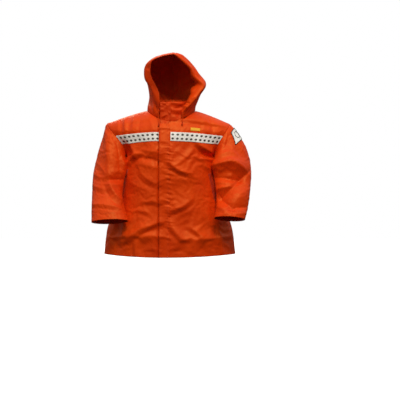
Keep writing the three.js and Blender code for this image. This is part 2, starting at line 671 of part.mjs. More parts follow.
function sleeveAxis(side) {
  return (point) => {
    const at = THREE.MathUtils.clamp((-140 - point.z) / 390, 0, 1);
    return sleevePoint(side, at, 0).add(sleevePoint(side, at, 180)).multiplyScalar(0.5);
  };
}

const fronts = {};
const sleeves = {};
const cloths = [];
function register(cloth) {
  cloths.push(cloth.settle());
  return cloth;
}

for (const side of ['right', 'left']) {
  const middleX = side === 'left' ? ZIP_LEFT : ZIP_RIGHT;
  const firstStep = side === 'left' ? FLAP_LEFT - ZIP_LEFT : ZIP_RIGHT - FLAP_RIGHT;
  const grid = bodyGrid(side, 'front', middleX, firstStep);
  const normals = gridNormals(grid, bodyAxis, false);
  const neckRow = BODY_STEPS + FRONT_ROWS.length;
  const sewn = (i, j) => Math.min(grid[0].length - 1 - j, grid.length - 1 - i, i >= neckRow ? j : 9);
  fronts[side] = fold(grid, normals, FOLDS.front, -1, sewn);
  register(new Cloth(`front_${side}`, bodyAxis).add(fronts[side]));
}

const back = new Cloth('back', bodyAxis);
for (const side of ['right', 'left']) {
  const grid = bodyGrid(side, 'back', NECK.x, 25);
  const normals = gridNormals(grid, bodyAxis, false);
  const neckRow = BODY_STEPS + BACK_ROWS.length;
  const sewn = (i, j) => Math.min(grid[0].length - 1 - j, grid.length - 1 - i, i >= neckRow ? j : 9);
  normals.forEach((row) => { row[0].setX(0).normalize(); });
  back.add(fold(grid, normals, FOLDS.back, 1, sewn), side === 'left');
}
register(back);

for (const side of ['right', 'left']) {
  const grid = sleeveGrid(side);
  const inside = sleeveAxis(side);
  const normals = gridNormals(grid, inside, true);
  const sewn = (i) => i;
  const front = fold(grid, normals, FOLDS[`sleeve_${side}`], -1, sewn);
  sleeves[side] = fold(front, normals, FOLDS.sleeve_back, 1, sewn);
  register(new Cloth(`sleeve_${side}`, inside).add(sleeves[side]));
}

for (const side of ['right', 'left']) {
  const grid = hoodGrid(side);
  const normals = gridNormals(grid, hoodMiddle, false);
  const sewn = (i, j) => Math.min(j, grid[0].length - 1 - j, grid.length - 1 - i);
  register(new Cloth(`hood_${side}`, hoodMiddle).add(fold(grid, normals, FOLDS.hood, -1, sewn)));
}

const collar = collarGrid();
register(new Cloth('collar', neckAxis).add(collar));

// The zip fills the gap between the two fronts and runs on up the collar
function columnOf(grid, column) {
  return grid.map((row) => row[column]);
}

const neckRow = BODY_STEPS + FRONT_ROWS.length;
const collarEnd = collar[0].length - 1;
const centre = {
  flapRight: columnOf(fronts.right, 1).slice(0, neckRow + 1),
  right: columnOf(fronts.right, 0).slice(0, neckRow + 1),
  left: columnOf(fronts.left, 0).slice(0, neckRow + 1),
  flapLeft: columnOf(fronts.left, 1).slice(0, neckRow + 1),
};
const zipRows = centre.right.map((point, i) => [point, centre.left[i]]);
register(new Cloth('zip', bodyAxis).add(zipRows));
sew(cloths);

// Looks
const ORANGE = new THREE.MeshStandardMaterial({ color: 0xd9500f, roughness: 0.55, metalness: 0 });
const ORANGE_DARK = new THREE.MeshStandardMaterial({ color: 0xb83806, roughness: 0.6, metalness: 0 });
const SILVER = new THREE.MeshStandardMaterial({ color: 0xe8e6e0, roughness: 0.4, metalness: 0 });
const YELLOW = new THREE.MeshStandardMaterial({ color: 0xf2a516, roughness: 0.6, metalness: 0 });
const ZIP_TAPE = new THREE.MeshStandardMaterial({ color: 0x8a2a10, roughness: 0.7, metalness: 0 });
const CORD_RED = new THREE.MeshStandardMaterial({ color: 0x9c1f08, roughness: 0.7, metalness: 0 });

const coat = new THREE.Group();

function place(name, geometry, material) {
  const mesh = new THREE.Mesh(geometry, material);
  mesh.name = name;
  coat.add(mesh);
}

cloths.forEach((cloth) => place(cloth.name, cloth.solid(WALL), cloth.name === 'zip' ? ZIP_TAPE : ORANGE));

// Storm flap: sewn beside the zip, lying over it from the hem to the top of the collar
function stormFlap() {
  const across = [centre.flapRight, centre.right, centre.left, centre.flapLeft];
  const body = centre.right.map((_, i) => across.map((column) => column[i]));
  const up = Array.from({ length: COLLAR.steps }, (_, n) => n + 1).map((n) => {
    const right = collar[n][0];
    const left = collar[n][collarEnd];
    const y = Math.min(right.y, left.y) - COLLAR.inset;
    return [FLAP_RIGHT, ZIP_RIGHT, ZIP_LEFT, FLAP_LEFT].map((x) => new THREE.Vector3(x, y, right.z));
  });
  const rows = [...body, ...up];
  const cloth = new Cloth('storm_flap', bodyAxis);
  cloth.add(rows.map((row) => [row[1], row[0]]), true).add(rows.map((row) => row.slice(1)));
  return cloth.settle().solid(FLAP_THICK, FLAP_THICK + LIE_GAP);
}
place('storm_flap', stormFlap(), ORANGE);

// Reflective bands: strips of each front's own rows, moved out
const BAND_ROW = BODY_STEPS + 3;
for (const side of ['right', 'left']) {
  const rows = fronts[side].slice(BAND_ROW, BAND_ROW + 3).map((row) => row.slice(2));
  const first = fronts[side].slice(BAND_ROW, BAND_ROW + 3).map((row) => row[1].clone().lerp(row[2], 0.12));
  const strip = rows.map((row, i) => [first[i], ...row]);
  place(`band_${side}`, new Cloth(`band_${side}`, bodyAxis).add(strip).settle()
    .solid(BAND_THICK, BAND_THICK + LIE_GAP), SILVER);
}

// Pocket welts down the sides of the fronts, a plain woven tab on the chest and a plain patch
// on the left sleeve: parts of the panels, moved out
function lying(name, grid, { row0, row1, column0, column1 }, thick, inside) {
  const piece = new Cloth(name, inside).add(cut(grid, row0, row1, column0, column1)).settle();
  return piece.solid(thick, thick + LIE_GAP);
}
place('welt_right', lying('welt_right', fronts.right, WELTS.right, WELT_THICK, bodyAxis), ORANGE_DARK);
place('welt_left', lying('welt_left', fronts.left, WELTS.left, WELT_THICK, bodyAxis), ORANGE_DARK);
place('chest_tab', lying('chest_tab', fronts.left, TAB, TAB.thick, bodyAxis), YELLOW);
place('sleeve_patch', lying('sleeve_patch', sleeves.left, PATCH, PATCH.thick, sleeveAxis('left')), SILVER);

// Drawcords: a short free end each side of the collar, with a moulded end
for (const side of ['right', 'left']) {
  const path = new THREE.CatmullRomCurve3(CORD_PATHS[side].map((point) => new THREE.Vector3(...point)));
  const section = new THREE.Shape(Array.from({ length: CORD.sides }, (_, n) => new THREE.Vector2(
    CORD.radius * Math.cos(n * 2 * Math.PI / CORD.sides),
    CORD.radius * Math.sin(n * 2 * Math.PI / CORD.sides),
  )));
  const sweep = { steps: 12, extrudePath: path, bevelEnabled: false };
  place(`cord_${side}`, new THREE.ExtrudeGeometry(section, sweep), CORD_RED);
  const tip = path.getPoint(1);
  const end = new THREE.CylinderGeometry(CORD_END.radius * 0.7, CORD_END.radius, CORD_END.length, 12);
  end.rotateX(Math.PI / 2);
  end.translate(tip.x, tip.y, tip.z - CORD_END.length / 2 - 3 * SEAM_GAP);
  place(`cord_end_${side}`, end, CORD_RED);
}

export default coat;
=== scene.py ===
import bpy
import math
import numpy as np
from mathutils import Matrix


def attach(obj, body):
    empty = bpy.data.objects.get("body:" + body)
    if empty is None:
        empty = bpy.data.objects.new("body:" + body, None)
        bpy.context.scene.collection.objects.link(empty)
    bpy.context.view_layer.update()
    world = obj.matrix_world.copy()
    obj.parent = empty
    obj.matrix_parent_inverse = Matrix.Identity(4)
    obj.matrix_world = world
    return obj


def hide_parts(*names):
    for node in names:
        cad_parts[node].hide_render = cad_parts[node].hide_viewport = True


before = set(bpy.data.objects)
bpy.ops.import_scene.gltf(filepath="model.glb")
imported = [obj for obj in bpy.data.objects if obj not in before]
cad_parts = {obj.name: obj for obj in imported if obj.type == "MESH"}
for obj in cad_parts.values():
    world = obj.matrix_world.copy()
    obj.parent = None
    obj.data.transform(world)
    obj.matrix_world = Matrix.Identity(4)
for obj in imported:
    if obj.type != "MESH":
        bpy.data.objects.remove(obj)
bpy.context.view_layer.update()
bpy.ops.object.select_all(action="DESELECT")

# Camera
# The picture is level, from eight metres in front, with the coat a little left of the middle.
def in_scene(name, data):
    thing = bpy.data.objects.new(name, data)
    bpy.context.scene.collection.objects.link(thing)
    return thing


camera_data = bpy.data.cameras.new("camera")
camera_data.lens = 150
camera_data.sensor_width = 36
camera = in_scene("camera", camera_data)
camera.location = (0.146, -8.0, -0.427)
camera.rotation_euler = (math.radians(90), 0, 0)
bpy.context.scene.camera = camera


# Drawcords
# A thin braided cord comes out of the hood's hem on either side of the collar and hangs free
# over the chest. Each one ends in a small moulded bell that is pressed onto the cord.
cord_routes = {
    "right": [(-49, -114.3, 2), (-49.4, -117.8, -1), (-49.8, -118.8, -12), (-49.8, -119.3, -30),
              (-49.2, -121, -46), (-48.4, -123.4, -60)],
    "left": [(64, -111.7, -13), (64, -115.2, -16), (64.4, -116.2, -26), (64.2, -116.2, -38),
             (63.4, -116.4, -48), (62.4, -117, -56)],
}
cord_diameter = 0.0032
cord_end_length = 0.015
cord_end_radius = 0.0042
bell_rings = (0.0035, 0.0055, 0.0105)
bell_waist = 0.0055


def smooth_route(stops, count):
    stops = np.array(stops, dtype=float) * 0.001
    padded = np.vstack([2 * stops[0] - stops[1], stops, 2 * stops[-1] - stops[-2]])
    places = []
    for step in range(count):
        at = step / (count - 1) * (len(stops) - 1)
        i = min(int(at), len(stops) - 2)
        t = at - i
        a, b, c, d = padded[i:i + 4]
        place = 0.5 * (2 * b + (c - a) * t + (2 * a - 5 * b + 4 * c - d) * t * t
                       + (3 * b - a - 3 * c + d) * t ** 3)
        places.append(place)
    return np.array(places)


def new_material(name, rough, **values):
    material = bpy.data.materials.new(name)
    material.use_nodes = True
    shader = material.node_tree.nodes["Principled BSDF"]
    for key, value in {"Roughness": rough, **values}.items():
        shader.inputs[key.replace("_", " ")].default_value = value
    return material, material.node_tree, shader


def add_node(tree, kind, settings=None, vector=None, **values):
    node = tree.nodes.new(kind)
    for key, value in (settings or {}).items():
        setattr(node, key, value)
    for key, value in values.items():
        node.inputs[key.replace("_", " ")].default_value = value
    if vector is not None:
        tree.links.new(vector, node.inputs["Vector"])
    return node


def coordinates(tree, kind="Object"):
    return tree.nodes.new("ShaderNodeTexCoord").outputs[kind]


def noise(tree, **values):
    return add_node(tree, "ShaderNodeTexNoise", None, coordinates(tree), **values).outputs["Fac"]


def wave_bands(tree, direction, vector, **values):
    node = add_node(tree, "ShaderNodeTexWave", {"bands_direction": direction}, vector, **values)
    return node.outputs["Fac"]


def calculated(tree, operation, *values):
    node = add_node(tree, "ShaderNodeMath", {"operation": operation})
    for socket, value in zip(node.inputs, values):
        if isinstance(value, float):
            socket.default_value = value
        else:
            tree.links.new(value, socket)
    return node.outputs["Value"]


def ranged(tree, value, low, high, to_low, to_high):
    node = add_node(tree, "ShaderNodeMapRange", From_Min=low, From_Max=high, To_Min=to_low, To_Max=to_high)
    tree.links.new(value, node.inputs["Value"])
    return node.outputs["Result"]


def ramp(tree, factor, stops):
    node = tree.nodes.new("ShaderNodeValToRGB")
    elements = node.color_ramp.elements
    while len(elements) < len(stops):
        elements.new(0.5)
    for element, (place, colour) in zip(elements, stops):
        element.position = place
        element.color = (*colour, 1)
    tree.links.new(factor, node.inputs["Fac"])
    return node.outputs["Color"]


def bump(tree, height, strength, distance, under=None):
    node = tree.nodes.new("ShaderNodeBump")
    node.inputs["Strength"].default_value = strength
    node.inputs["Distance"].default_value = distance
    tree.links.new(height, node.inputs["Height"])
    if under is not None:
        tree.links.new(under, node.inputs["Normal"])
    return node.outputs["Normal"]


def paint(tree, shader, colour, normal):
    tree.links.new(colour, shader.inputs["Base Color"])
    tree.links.new(normal, shader.inputs["Normal"])


def braided_cord():
    material, tree, shader = new_material("braided cord", 0.7, Specular_IOR_Level=0.05)
    strands = []
    for lean in (0.7, -0.7):
        turned = add_node(tree, "ShaderNodeMapping", None, coordinates(tree), Rotation=(0, lean, 0))
        strands.append(wave_bands(tree, "Z", turned.outputs["Vector"], Scale=260.0, Distortion=0.6))
    braid = calculated(tree, "MULTIPLY", *strands)
    colour = ramp(tree, braid, [(0.0, (0.66, 0.040, 0.002)), (0.7, (0.92, 0.080, 0.003))])
    paint(tree, shader, colour, bump(tree, braid, 0.6, 0.0004))
    return material


# A material with two shades of one colour in a fine grain, for moulded, sewn and metal pieces
def grained(name, rough, scale, detail, low, high, strength, depth, **values):
    material, tree, shader = new_material(name, rough, **values)
    grain = noise(tree, Scale=scale, Detail=detail)
    paint(tree, shader, ramp(tree, grain, [(0.3, low), (0.7, high)]), bump(tree, grain, strength, depth))
    return material


def only(piece):
    if bpy.context.mode != "OBJECT":
        bpy.ops.object.mode_set(mode="OBJECT")
    bpy.ops.object.select_all(action="DESELECT")
    bpy.context.view_layer.objects.active = piece
    piece.select_set(True)


def edit(piece, vertices=None, faces=None):
    only(piece)
    bpy.ops.object.mode_set(mode="EDIT")
    bpy.ops.mesh.select_all(action="DESELECT")
    bpy.ops.mesh.select_mode(type="FACE" if faces is not None else "VERT")
    bpy.ops.object.mode_set(mode="OBJECT")
    if faces is not None:
        for face in piece.data.polygons:
            face.select = faces(face)
    if vertices is not None:
        for vertex in piece.data.vertices:
            vertex.select = bool(vertices(vertex.co))
    bpy.ops.object.mode_set(mode="EDIT")


def settle(piece):
    only(piece)
    bpy.ops.object.transform_apply(location=True, rotation=True, scale=True)


def shaped(piece, kind, **settings):
    only(piece)
    modifier = piece.modifiers.new("shaped", kind)
    for key, value in settings.items():
        setattr(modifier, key, value)
    bpy.ops.object.modifier_apply(modifier="shaped")


def smooth_by_angle(piece):
    only(piece)
    bpy.ops.object.shade_smooth_by_angle(angle=math.radians(35))


cord_finish = braided_cord()
end_finish = grained("moulded cord end", 0.45, 900.0, 2.0, (0.50, 0.030, 0.002), (0.62, 0.040, 0.003),
                     0.25, 0.0002, Specular_IOR_Level=0.15)
for side, stops in cord_routes.items():
    route = smooth_route(stops, 26)
    line = bpy.data.curves.new(f"drawcord_{side}", "CURVE")
    line.dimensions = "3D"
    line.bevel_depth = cord_diameter / 2
    line.bevel_resolution = 4
    line.use_fill_caps = True
    spline = line.splines.new("POLY")
    spline.points.add(len(route) - 1)
    for point, place in zip(spline.points, route):
        point.co = (*place, 1)
    spline.use_smooth = True
    line.materials.append(cord_finish)
    drawcord = in_scene(f"drawcord_{side}", line)

    tip = route[-1]
    middle = (tip[0], tip[1], tip[2] - 0.0009 - cord_end_length / 2)
    bpy.ops.mesh.primitive_cylinder_add(vertices=24, radius=cord_end_radius, depth=cord_end_length,
                                        location=middle)
    bell = bpy.context.object
    bell.name = f"drawcord_end_{side}"
    settle(bell)
    foot = middle[2] - cord_end_length / 2
    edit(bell, faces=lambda face: face.normal.z > 0.9)
    bpy.ops.transform.resize(value=(0.62, 0.62, 1))
    bpy.ops.mesh.inset(thickness=0.0007, depth=-0.0004)
    edit(bell, faces=lambda face: face.normal.z < -0.9)
    bpy.ops.mesh.inset(thickness=0.0009)
    bpy.ops.mesh.extrude_region_move(TRANSFORM_OT_translate={"value": (0, 0, 0.003)})
    for height in bell_rings:
        edit(bell, vertices=lambda co: True)
        bpy.ops.mesh.bisect(plane_co=(middle[0], middle[1], foot + height), plane_no=(0, 0, 1))
    edit(bell, vertices=lambda co: abs(co.z - foot - bell_waist) < 0.0002)
    bpy.ops.transform.resize(value=(0.86, 0.86, 1))
    edit(bell, vertices=lambda co: True)
    bpy.ops.mesh.normals_make_consistent(inside=False)
    settle(bell)
    shaped(bell, "BEVEL", width=0.0003, segments=2)
    smooth_by_angle(bell)
    bell.data.materials.append(end_finish)

    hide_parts(f"cord_{side}")
    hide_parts(f"cord_end_{side}")
    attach(drawcord, "root")
    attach(bell, "root")


# Body, sleeves and hood
# Seven panels cut from coated nylon: two fronts, a back, two set-in sleeves and a hood in two
# halves, joined by seams and empty inside. Sizes are millimetres from the neck's middle. The
# panels are nets of rows and columns, the back two of them, that share their seams' points.
zip_edges = {"right": -26, "left": -14}
flap_edges = {"right": -42, "left": 3}
neck_x, neck_half, neck_front, neck_back, neck_dip, neck_rise = 8, 116, 112, 82, 56, 12
hood_start = {"right": 59, "left": 63}
sides = {"right": -1, "left": 1}

body_columns = ("level", "z_mid", "z_side", "right", "left", "front", "back", "side")
body_rows = [
    (0.00, -699, -684, 314, 317, 166, 150, 10),
    (0.28, -566, -556, 297, 299, 157, 143, 8),
    (0.55, -436, -428, 250, 253, 152, 135, 7),
    (0.76, -338, -330, 223, 225, 151, 130, 7),
    (0.90, -274, -267, 211, 214, 151, 129, 7),
    (1.00, -228, -222, 208, 212, 150, 128, 8),
]
side_round = 2.25
body_steps = 17
front_rows = [(-228, 150, 180), (-203, 149, 157), (-176, 146, 131), (-148, 141, 105),
              (-127, 137, 90), (-106, 131, 76), (-82, 124, 60)]
front_corner_arm, front_hood_arm = 48, 39
back_rows = [(-228, 128, 180), (-188, 129, 155), (-145, 127, 130), (-98, 120, 105), (-45, 105, 80)]
back_corner_arm = 56
neck_steps, back_neck_steps, columns_across = 5, 8, 9

sleeve_columns = ("at", "x_out", "z_out", "x_in", "z_in", "y_out", "y_in", "before", "behind",
                  "tuck", "tuck_back")
sleeve_rows = {
    "right": [
        (0.00, -303, -62, -208, -222, 5, 8, 70, 74, 32, 22),
        (0.05, -309, -84, -210, -234, 3, -25, 66, 76, 22, 14),
        (0.14, -320, -124, -205, -256, 0, -57, 60, 74, 8, 4),
        (0.30, -342, -200, -205, -292, -16, -70, 56, 66, 0, 0),
        (0.50, -363, -303, -216, -348, -46, -80, 54, 60, 0, 0),
        (0.70, -366, -400, -221, -416, -90, -112, 54, 55, 0, 0),
        (0.85, -366, -469, -208, -474, -126, -138, 53, 50, 0, 0),
        (1.00, -365, -532, -191, -526, -158, -162, 50, 47, 0, 0),
    ],
    "left": [
        (0.00, 291, -64, 212, -222, 5, 8, 70, 74, -16, -20),
        (0.05, 306, -80, 213, -234, 3, -25, 66, 76, -12, -13),
        (0.14, 330, -112, 207, -255, 0, -57, 60, 74, -4, -4),
        (0.30, 371, -186, 208, -290, -16, -70, 60, 66, 0, 0),
        (0.50, 390, -285, 217, -345, -46, -80, 58, 60, 0, 0),
        (0.70, 383, -390, 224, -410, -90, -110, 56, 55, 0, 0),
        (0.85, 373, -460, 222, -464, -124, -136, 54, 50, 0, 0),
        (1.00, 358, -520, 212, -512, -156, -160, 50, 47, 0, 0),
    ],
}
sleeve_steps = 17
cuff_lean = 12

edge_columns = ("at", "x", "y", "z")
face_edge = {
    "right": [(0.00, -52, -96, -40), (0.10, -49, -116, 8), (0.20, -48, -124, 46), (0.27, -59, -123, 74),
              (0.37, -81, -117, 107), (0.46, -104, -110, 139), (0.56, -112, -106, 179),
              (0.63, -108, -107, 205), (0.72, -83, -113, 232), (0.82, -46, -122, 249),
              (0.92, -3, -131, 259), (1.00, 28, -138, 261)],
    "left": [(0.00, 61, -100, -43), (0.06, 62, -110, -20), (0.15, 85, -118, 8), (0.25, 112, -120, 33),
             (0.41, 156, -110, 84), (0.49, 168, -104, 113), (0.63, 132, -105, 162),
             (0.75, 107, -112, 202), (0.91, 57, -128, 239), (1.00, 28, -138, 261)],
}
crown = [(0.00, 28, -138, 261), (0.20, 24, -60, 267), (0.38, 20, 18, 262), (0.55, 16, 92, 230),
         (0.70, 13, 132, 170), (0.86, 10, 128, 92), (1.00, 8, 82, 12)]
hood_corner = -33.75
hood_bulge = {"right": 12, "left": 22, "back": 26, "up": 10}
hood_columns = 20
nape_steps = 5
fineness = 8


def smooth(table, columns, key, column, at):
    keys = [row[columns.index(key)] for row in table]
    values = [row[columns.index(column)] for row in table]
    last = len(table) - 1
    i = min(max(sum(1 for k in keys if k <= at) - 1, 0), last - 1)

    def slope(a, b):
        return (values[b] - values[a]) / (keys[b] - keys[a])

    def tangent(n):
        return slope(max(n - 1, 0), min(n + 1, last))

    span = keys[i + 1] - keys[i]
    t = min(max((at - keys[i]) / span, 0), 1)
    h = 1 - t
    return (values[i] * (1 + 2 * t) * h * h + values[i + 1] * (3 - 2 * t) * t * t
            + tangent(i) * span * t * h * h - tangent(i + 1) * span * t * t * h)


def steps(start, end, count):
    return [start + (end - start) * (n + 1) / count for n in range(count)]


def eased(value, low, high):
    t = np.clip((value - low) / (high - low), 0, 1)
    return t * t * (3 - 2 * t)


def unit(vectors):
    return vectors / np.maximum(np.linalg.norm(vectors, axis=-1, keepdims=True), 1e-12)


def neck_point(side, turn):
    c = math.cos(math.radians(turn))
    s = math.sin(math.radians(turn))
    y = -neck_front * s if s > 0 else -neck_back * s
    z = -neck_dip * s ** 2.2 if s > 0 else neck_rise * s * s
    return np.array([neck_x + sides[side] * neck_half * c, y, z])


def neck_corner(side):
    return math.degrees(math.acos(sides[side] * (zip_edges[side] - neck_x) / neck_half))


def sleeve_point(side, at, turn):
    values = {name: smooth(sleeve_rows[side], sleeve_columns, "at", name, at)
              for name in sleeve_columns[1:]}
    outer = np.array([values["x_out"], values["y_out"], values["z_out"]])
    inner = np.array([values["x_in"], values["y_in"], values["z_in"]])
    c = math.cos(math.radians(turn))
    s = math.sin(math.radians(turn))
    depth = values["before"] if s > 0 else values["behind"]
    tuck = values["tuck"] * (1 - c) / 2 if s > 0 else values["tuck_back"] * ((1 - c) / 2) ** 2
    tilt = cuff_lean * eased(at, 0.6, 1)
    return (outer + inner) / 2 + (outer - inner) / 2 * c + np.array([tuck * s * s, -depth * s, tilt * s])


def row_point(row, q):
    middle, edge, roundness, droop = row
    bow = (1 - q ** (1 + roundness * 0.55)) ** (1 / (1 + max(0, roundness - 1)))
    return np.array([
        middle[0] + (edge[0] - middle[0]) * q,
        edge[1] + (middle[1] - edge[1]) * bow,
        middle[2] + (edge[2] - middle[2]) * q ** droop,
    ])


def lower_rows(side, face, middle_x):
    rows = []
    for n in range(body_steps):
        values = {name: smooth(body_rows, body_columns, "level", name, n / body_steps)
                  for name in body_columns[1:]}
        depth = -values["front"] if face == "front" else values["back"]
        middle = (middle_x, depth, values["z_mid"])
        edge = (sides[side] * values[side], values["side"], values["z_side"])
        rows.append((middle, edge, side_round, 2))
    return rows


def upper_rows(side, face, middle_x):
    front = face == "front"
    facing = -1 if front else 1
    rows = []
    for n, (z_mid, depth, arm) in enumerate(front_rows if front else back_rows):
        edge = sleeve_point(side, 0, arm if front else -arm)
        rows.append(((middle_x, facing * depth, z_mid), edge, max(1.15, side_round - n * 0.45), 1.9))
    if front:
        necks = [neck_corner(side), hood_start[side], *steps(hood_start[side], 0, neck_steps)]
        arms = [front_corner_arm, front_hood_arm, *steps(front_hood_arm, 0, neck_steps)]
    else:
        necks = [-90, *steps(-90, 0, back_neck_steps)]
        arms = [-back_corner_arm, *[-arm for arm in steps(back_corner_arm, 0, back_neck_steps)]]
    for turn, arm in zip(necks, arms):
        rows.append((neck_point(side, turn), sleeve_point(side, 0, arm), 1.12, 1.2))
    return rows


def body_net(side, face, middle_x, first_step):
    rows = lower_rows(side, face, middle_x) + upper_rows(side, face, middle_x)
    even = [n / (columns_across + 1) for n in range(columns_across + 2)]
    net = []
    for i, row in enumerate(rows):
        width = abs(row[1][0] - row[0][0])
        start = min(first_step / width, even[1])
        close = 1 + 0.5 * min(1, row[2] - 1)
        held = [0, start]
        held += [start + (1 - start) * (1 - (1 - t) ** close) for t in steps(0, 1, columns_across)]
        shift = eased(i, len(rows) - 1 - neck_steps, len(rows) - 1)
        net.append([row_point(row, min(1, q + (even[n] - q) * shift)) for n, q in enumerate(held)])
    return np.array(net)


def arm_turns():
    front = [row[2] for row in front_rows] + [front_corner_arm, front_hood_arm,
                                              *steps(front_hood_arm, 0, neck_steps)]
    back = [row[2] for row in back_rows] + [back_corner_arm, *steps(back_corner_arm, 0, back_neck_steps)]
    return front[:-1] + [-turn for turn in reversed(back)]


def sleeve_net(side):
    turns = arm_turns()
    even = [180 - 360 * n / (len(turns) - 1) for n in range(len(turns))]
    net = []
    for n in range(sleeve_steps + 1):
        at = n / sleeve_steps
        shift = eased(at, 0, 0.45)
        net.append([sleeve_point(side, at, turn + (even[k] - turn) * shift) for k, turn in enumerate(turns)])
    return np.array(net)


def along(table, at):
    return np.array([smooth(table, edge_columns, "at", axis, at) for axis in ("x", "y", "z")])


def hood_net(side):
    front = [hood_start[side], *steps(hood_start[side], 0, neck_steps)]
    bottom = [neck_point(side, turn) for turn in front + steps(0, hood_corner, 3)]
    nape = [neck_point(side, turn) for turn in [hood_corner, *steps(hood_corner, -90, nape_steps), -90]]
    rows = len(bottom) - 1
    peak = along(face_edge[side], 1)
    net = []
    for i, foot in enumerate(bottom):
        line = []
        for j in range(hood_columns + 1):
            r = i / rows
            w = j / hood_columns
            share = hood_columns / nape_steps
            k = int(j // share)
            last = nape[k] + (nape[k + 1] - nape[k]) * ((j % share) / share)
            face = bottom[0] if i == 0 and j == 0 else along(face_edge[side], w)
            full = 16 * r * (1 - r) * w * (1 - w)
            line.append(face * (1 - r) + last * r + foot * (1 - w) + along(crown, r) * w
                        - bottom[0] * (1 - r) * (1 - w) - peak * (1 - r) * w
                        - nape[nape_steps] * r * w - bottom[rows] * r * (1 - w)
                        + full * np.array([sides[side] * hood_bulge[side], hood_bulge["back"] * r,
                                           hood_bulge["up"]]))
        net.append(line)
    return np.array(net)


nets = {}
for side in sides:
    step = abs(flap_edges[side] - zip_edges[side])
    nets[f"front_{side}"] = body_net(side, "front", zip_edges[side], step)
    nets[f"back_{side}"] = body_net(side, "back", neck_x, 25)
    nets[f"sleeve_{side}"] = sleeve_net(side)
    nets[f"hood_{side}"] = hood_net(side)
panel_names = list(nets)
net_numbers = {}


def joined_cage(names):
    found = {}
    places = []
    faces = []
    grid_places = []
    face_panels = []
    for name in names:
        net = nets[name]
        numbers = np.zeros(net.shape[:2], dtype=int)
        for i, row in enumerate(net):
            for j, place in enumerate(row):
                key = tuple(np.round(place * 20).astype(int))
                if key not in found:
                    found[key] = len(places)
                    places.append(place * 0.001)
                numbers[i, j] = found[key]
        net_numbers[name] = numbers
        for i in range(net.shape[0] - 1):
            for j in range(net.shape[1] - 1):
                corners = [(i, j), (i, j + 1), (i + 1, j + 1), (i + 1, j)]
                faces.append([int(numbers[c]) for c in corners])
                grid_places.extend((c[1], c[0]) for c in corners)
                face_panels.append(panel_names.index(name))
    return places, faces, grid_places, face_panels


def edit_all(piece):
    only(piece)
    bpy.ops.object.mode_set(mode="EDIT")
    bpy.ops.mesh.select_all(action="SELECT")


def refine(cage, levels):
    shaped(cage, "SUBSURF", levels=levels, render_levels=levels, uv_smooth="NONE",
           boundary_smooth="PRESERVE_CORNERS")


def read_values(things, key, width, kind):
    values = np.empty(len(things) * width, dtype=kind)
    things.foreach_get(key, values)
    return values


def read_places(mesh):
    return read_values(mesh.vertices, "co", 3, float).reshape(-1, 3)


def read_normals(mesh):
    return read_values(mesh.vertex_normals, "vector", 3, np.float32).reshape(-1, 3).astype(float)


def write_places(mesh, places):
    mesh.vertices.foreach_set("co", np.ascontiguousarray(places, dtype=np.float32).ravel())
    mesh.update()


# Which vertex of the finer surface lies at each row and column of every net
def look_up(cage, names, share):
    mesh = cage.data
    corners = read_values(mesh.loops, "vertex_index", 1, np.int32)
    spots = read_values(mesh.uv_layers["net"].data, "uv", 2, np.float32)
    spots = np.rint(spots.reshape(-1, 2) * share).astype(int)
    owners = np.repeat(read_values(mesh.polygons, "material_index", 1, np.int32), 4)
    numbers = {}
    for name in names:
        rows, columns = nets[name].shape[:2]
        table = np.full(((rows - 1) * share + 1, (columns - 1) * share + 1), -1)
        mine = owners == panel_names.index(name)
        table[spots[mine, 1], spots[mine, 0]] = corners[mine]
        numbers[name] = table
    return numbers


def fine_panels(names, places, levels):
    _, faces, grid_places, face_panels = joined_cage(names)
    mesh = bpy.data.meshes.new("cage")
    mesh.from_pydata(places, [], faces)
    layer = mesh.uv_layers.new(name="net")
    layer.data.foreach_set("uv", np.array(grid_places, dtype=np.float32).ravel())
    mesh.polygons.foreach_set("material_index", np.array(face_panels, dtype=np.int32))
    cage = in_scene("cage", mesh)
    edit_all(cage)
    bpy.ops.mesh.normals_make_consistent(inside=False)
    refine(cage, levels)
    return cage, look_up(cage, names, 2 ** levels)


# The finer surface draws in from the net where it curves, so the net is moved out by as much as
# it drew in, and the surface is made once more from that
def fitted_panels(names):
    goal = np.array(joined_cage(names)[0])
    places = goal.copy()
    for _ in range(2):
        cage, numbers = fine_panels(names, places.tolist(), 3)
        fine = read_places(cage.data)
        drawn = np.zeros_like(goal)
        for name in names:
            drawn[net_numbers[name]] = fine[numbers[name][::fineness, ::fineness]]
        places = places + (goal - drawn)
        bpy.data.objects.remove(cage, do_unlink=True)
    return fine_panels(names, places.tolist(), 2)


body_names = [name for name in panel_names if not name.startswith("hood")]
hood_names = [name for name in panel_names if name.startswith("hood")]
cages = {"body": fitted_panels(body_names), "hood": fitted_panels(hood_names)}

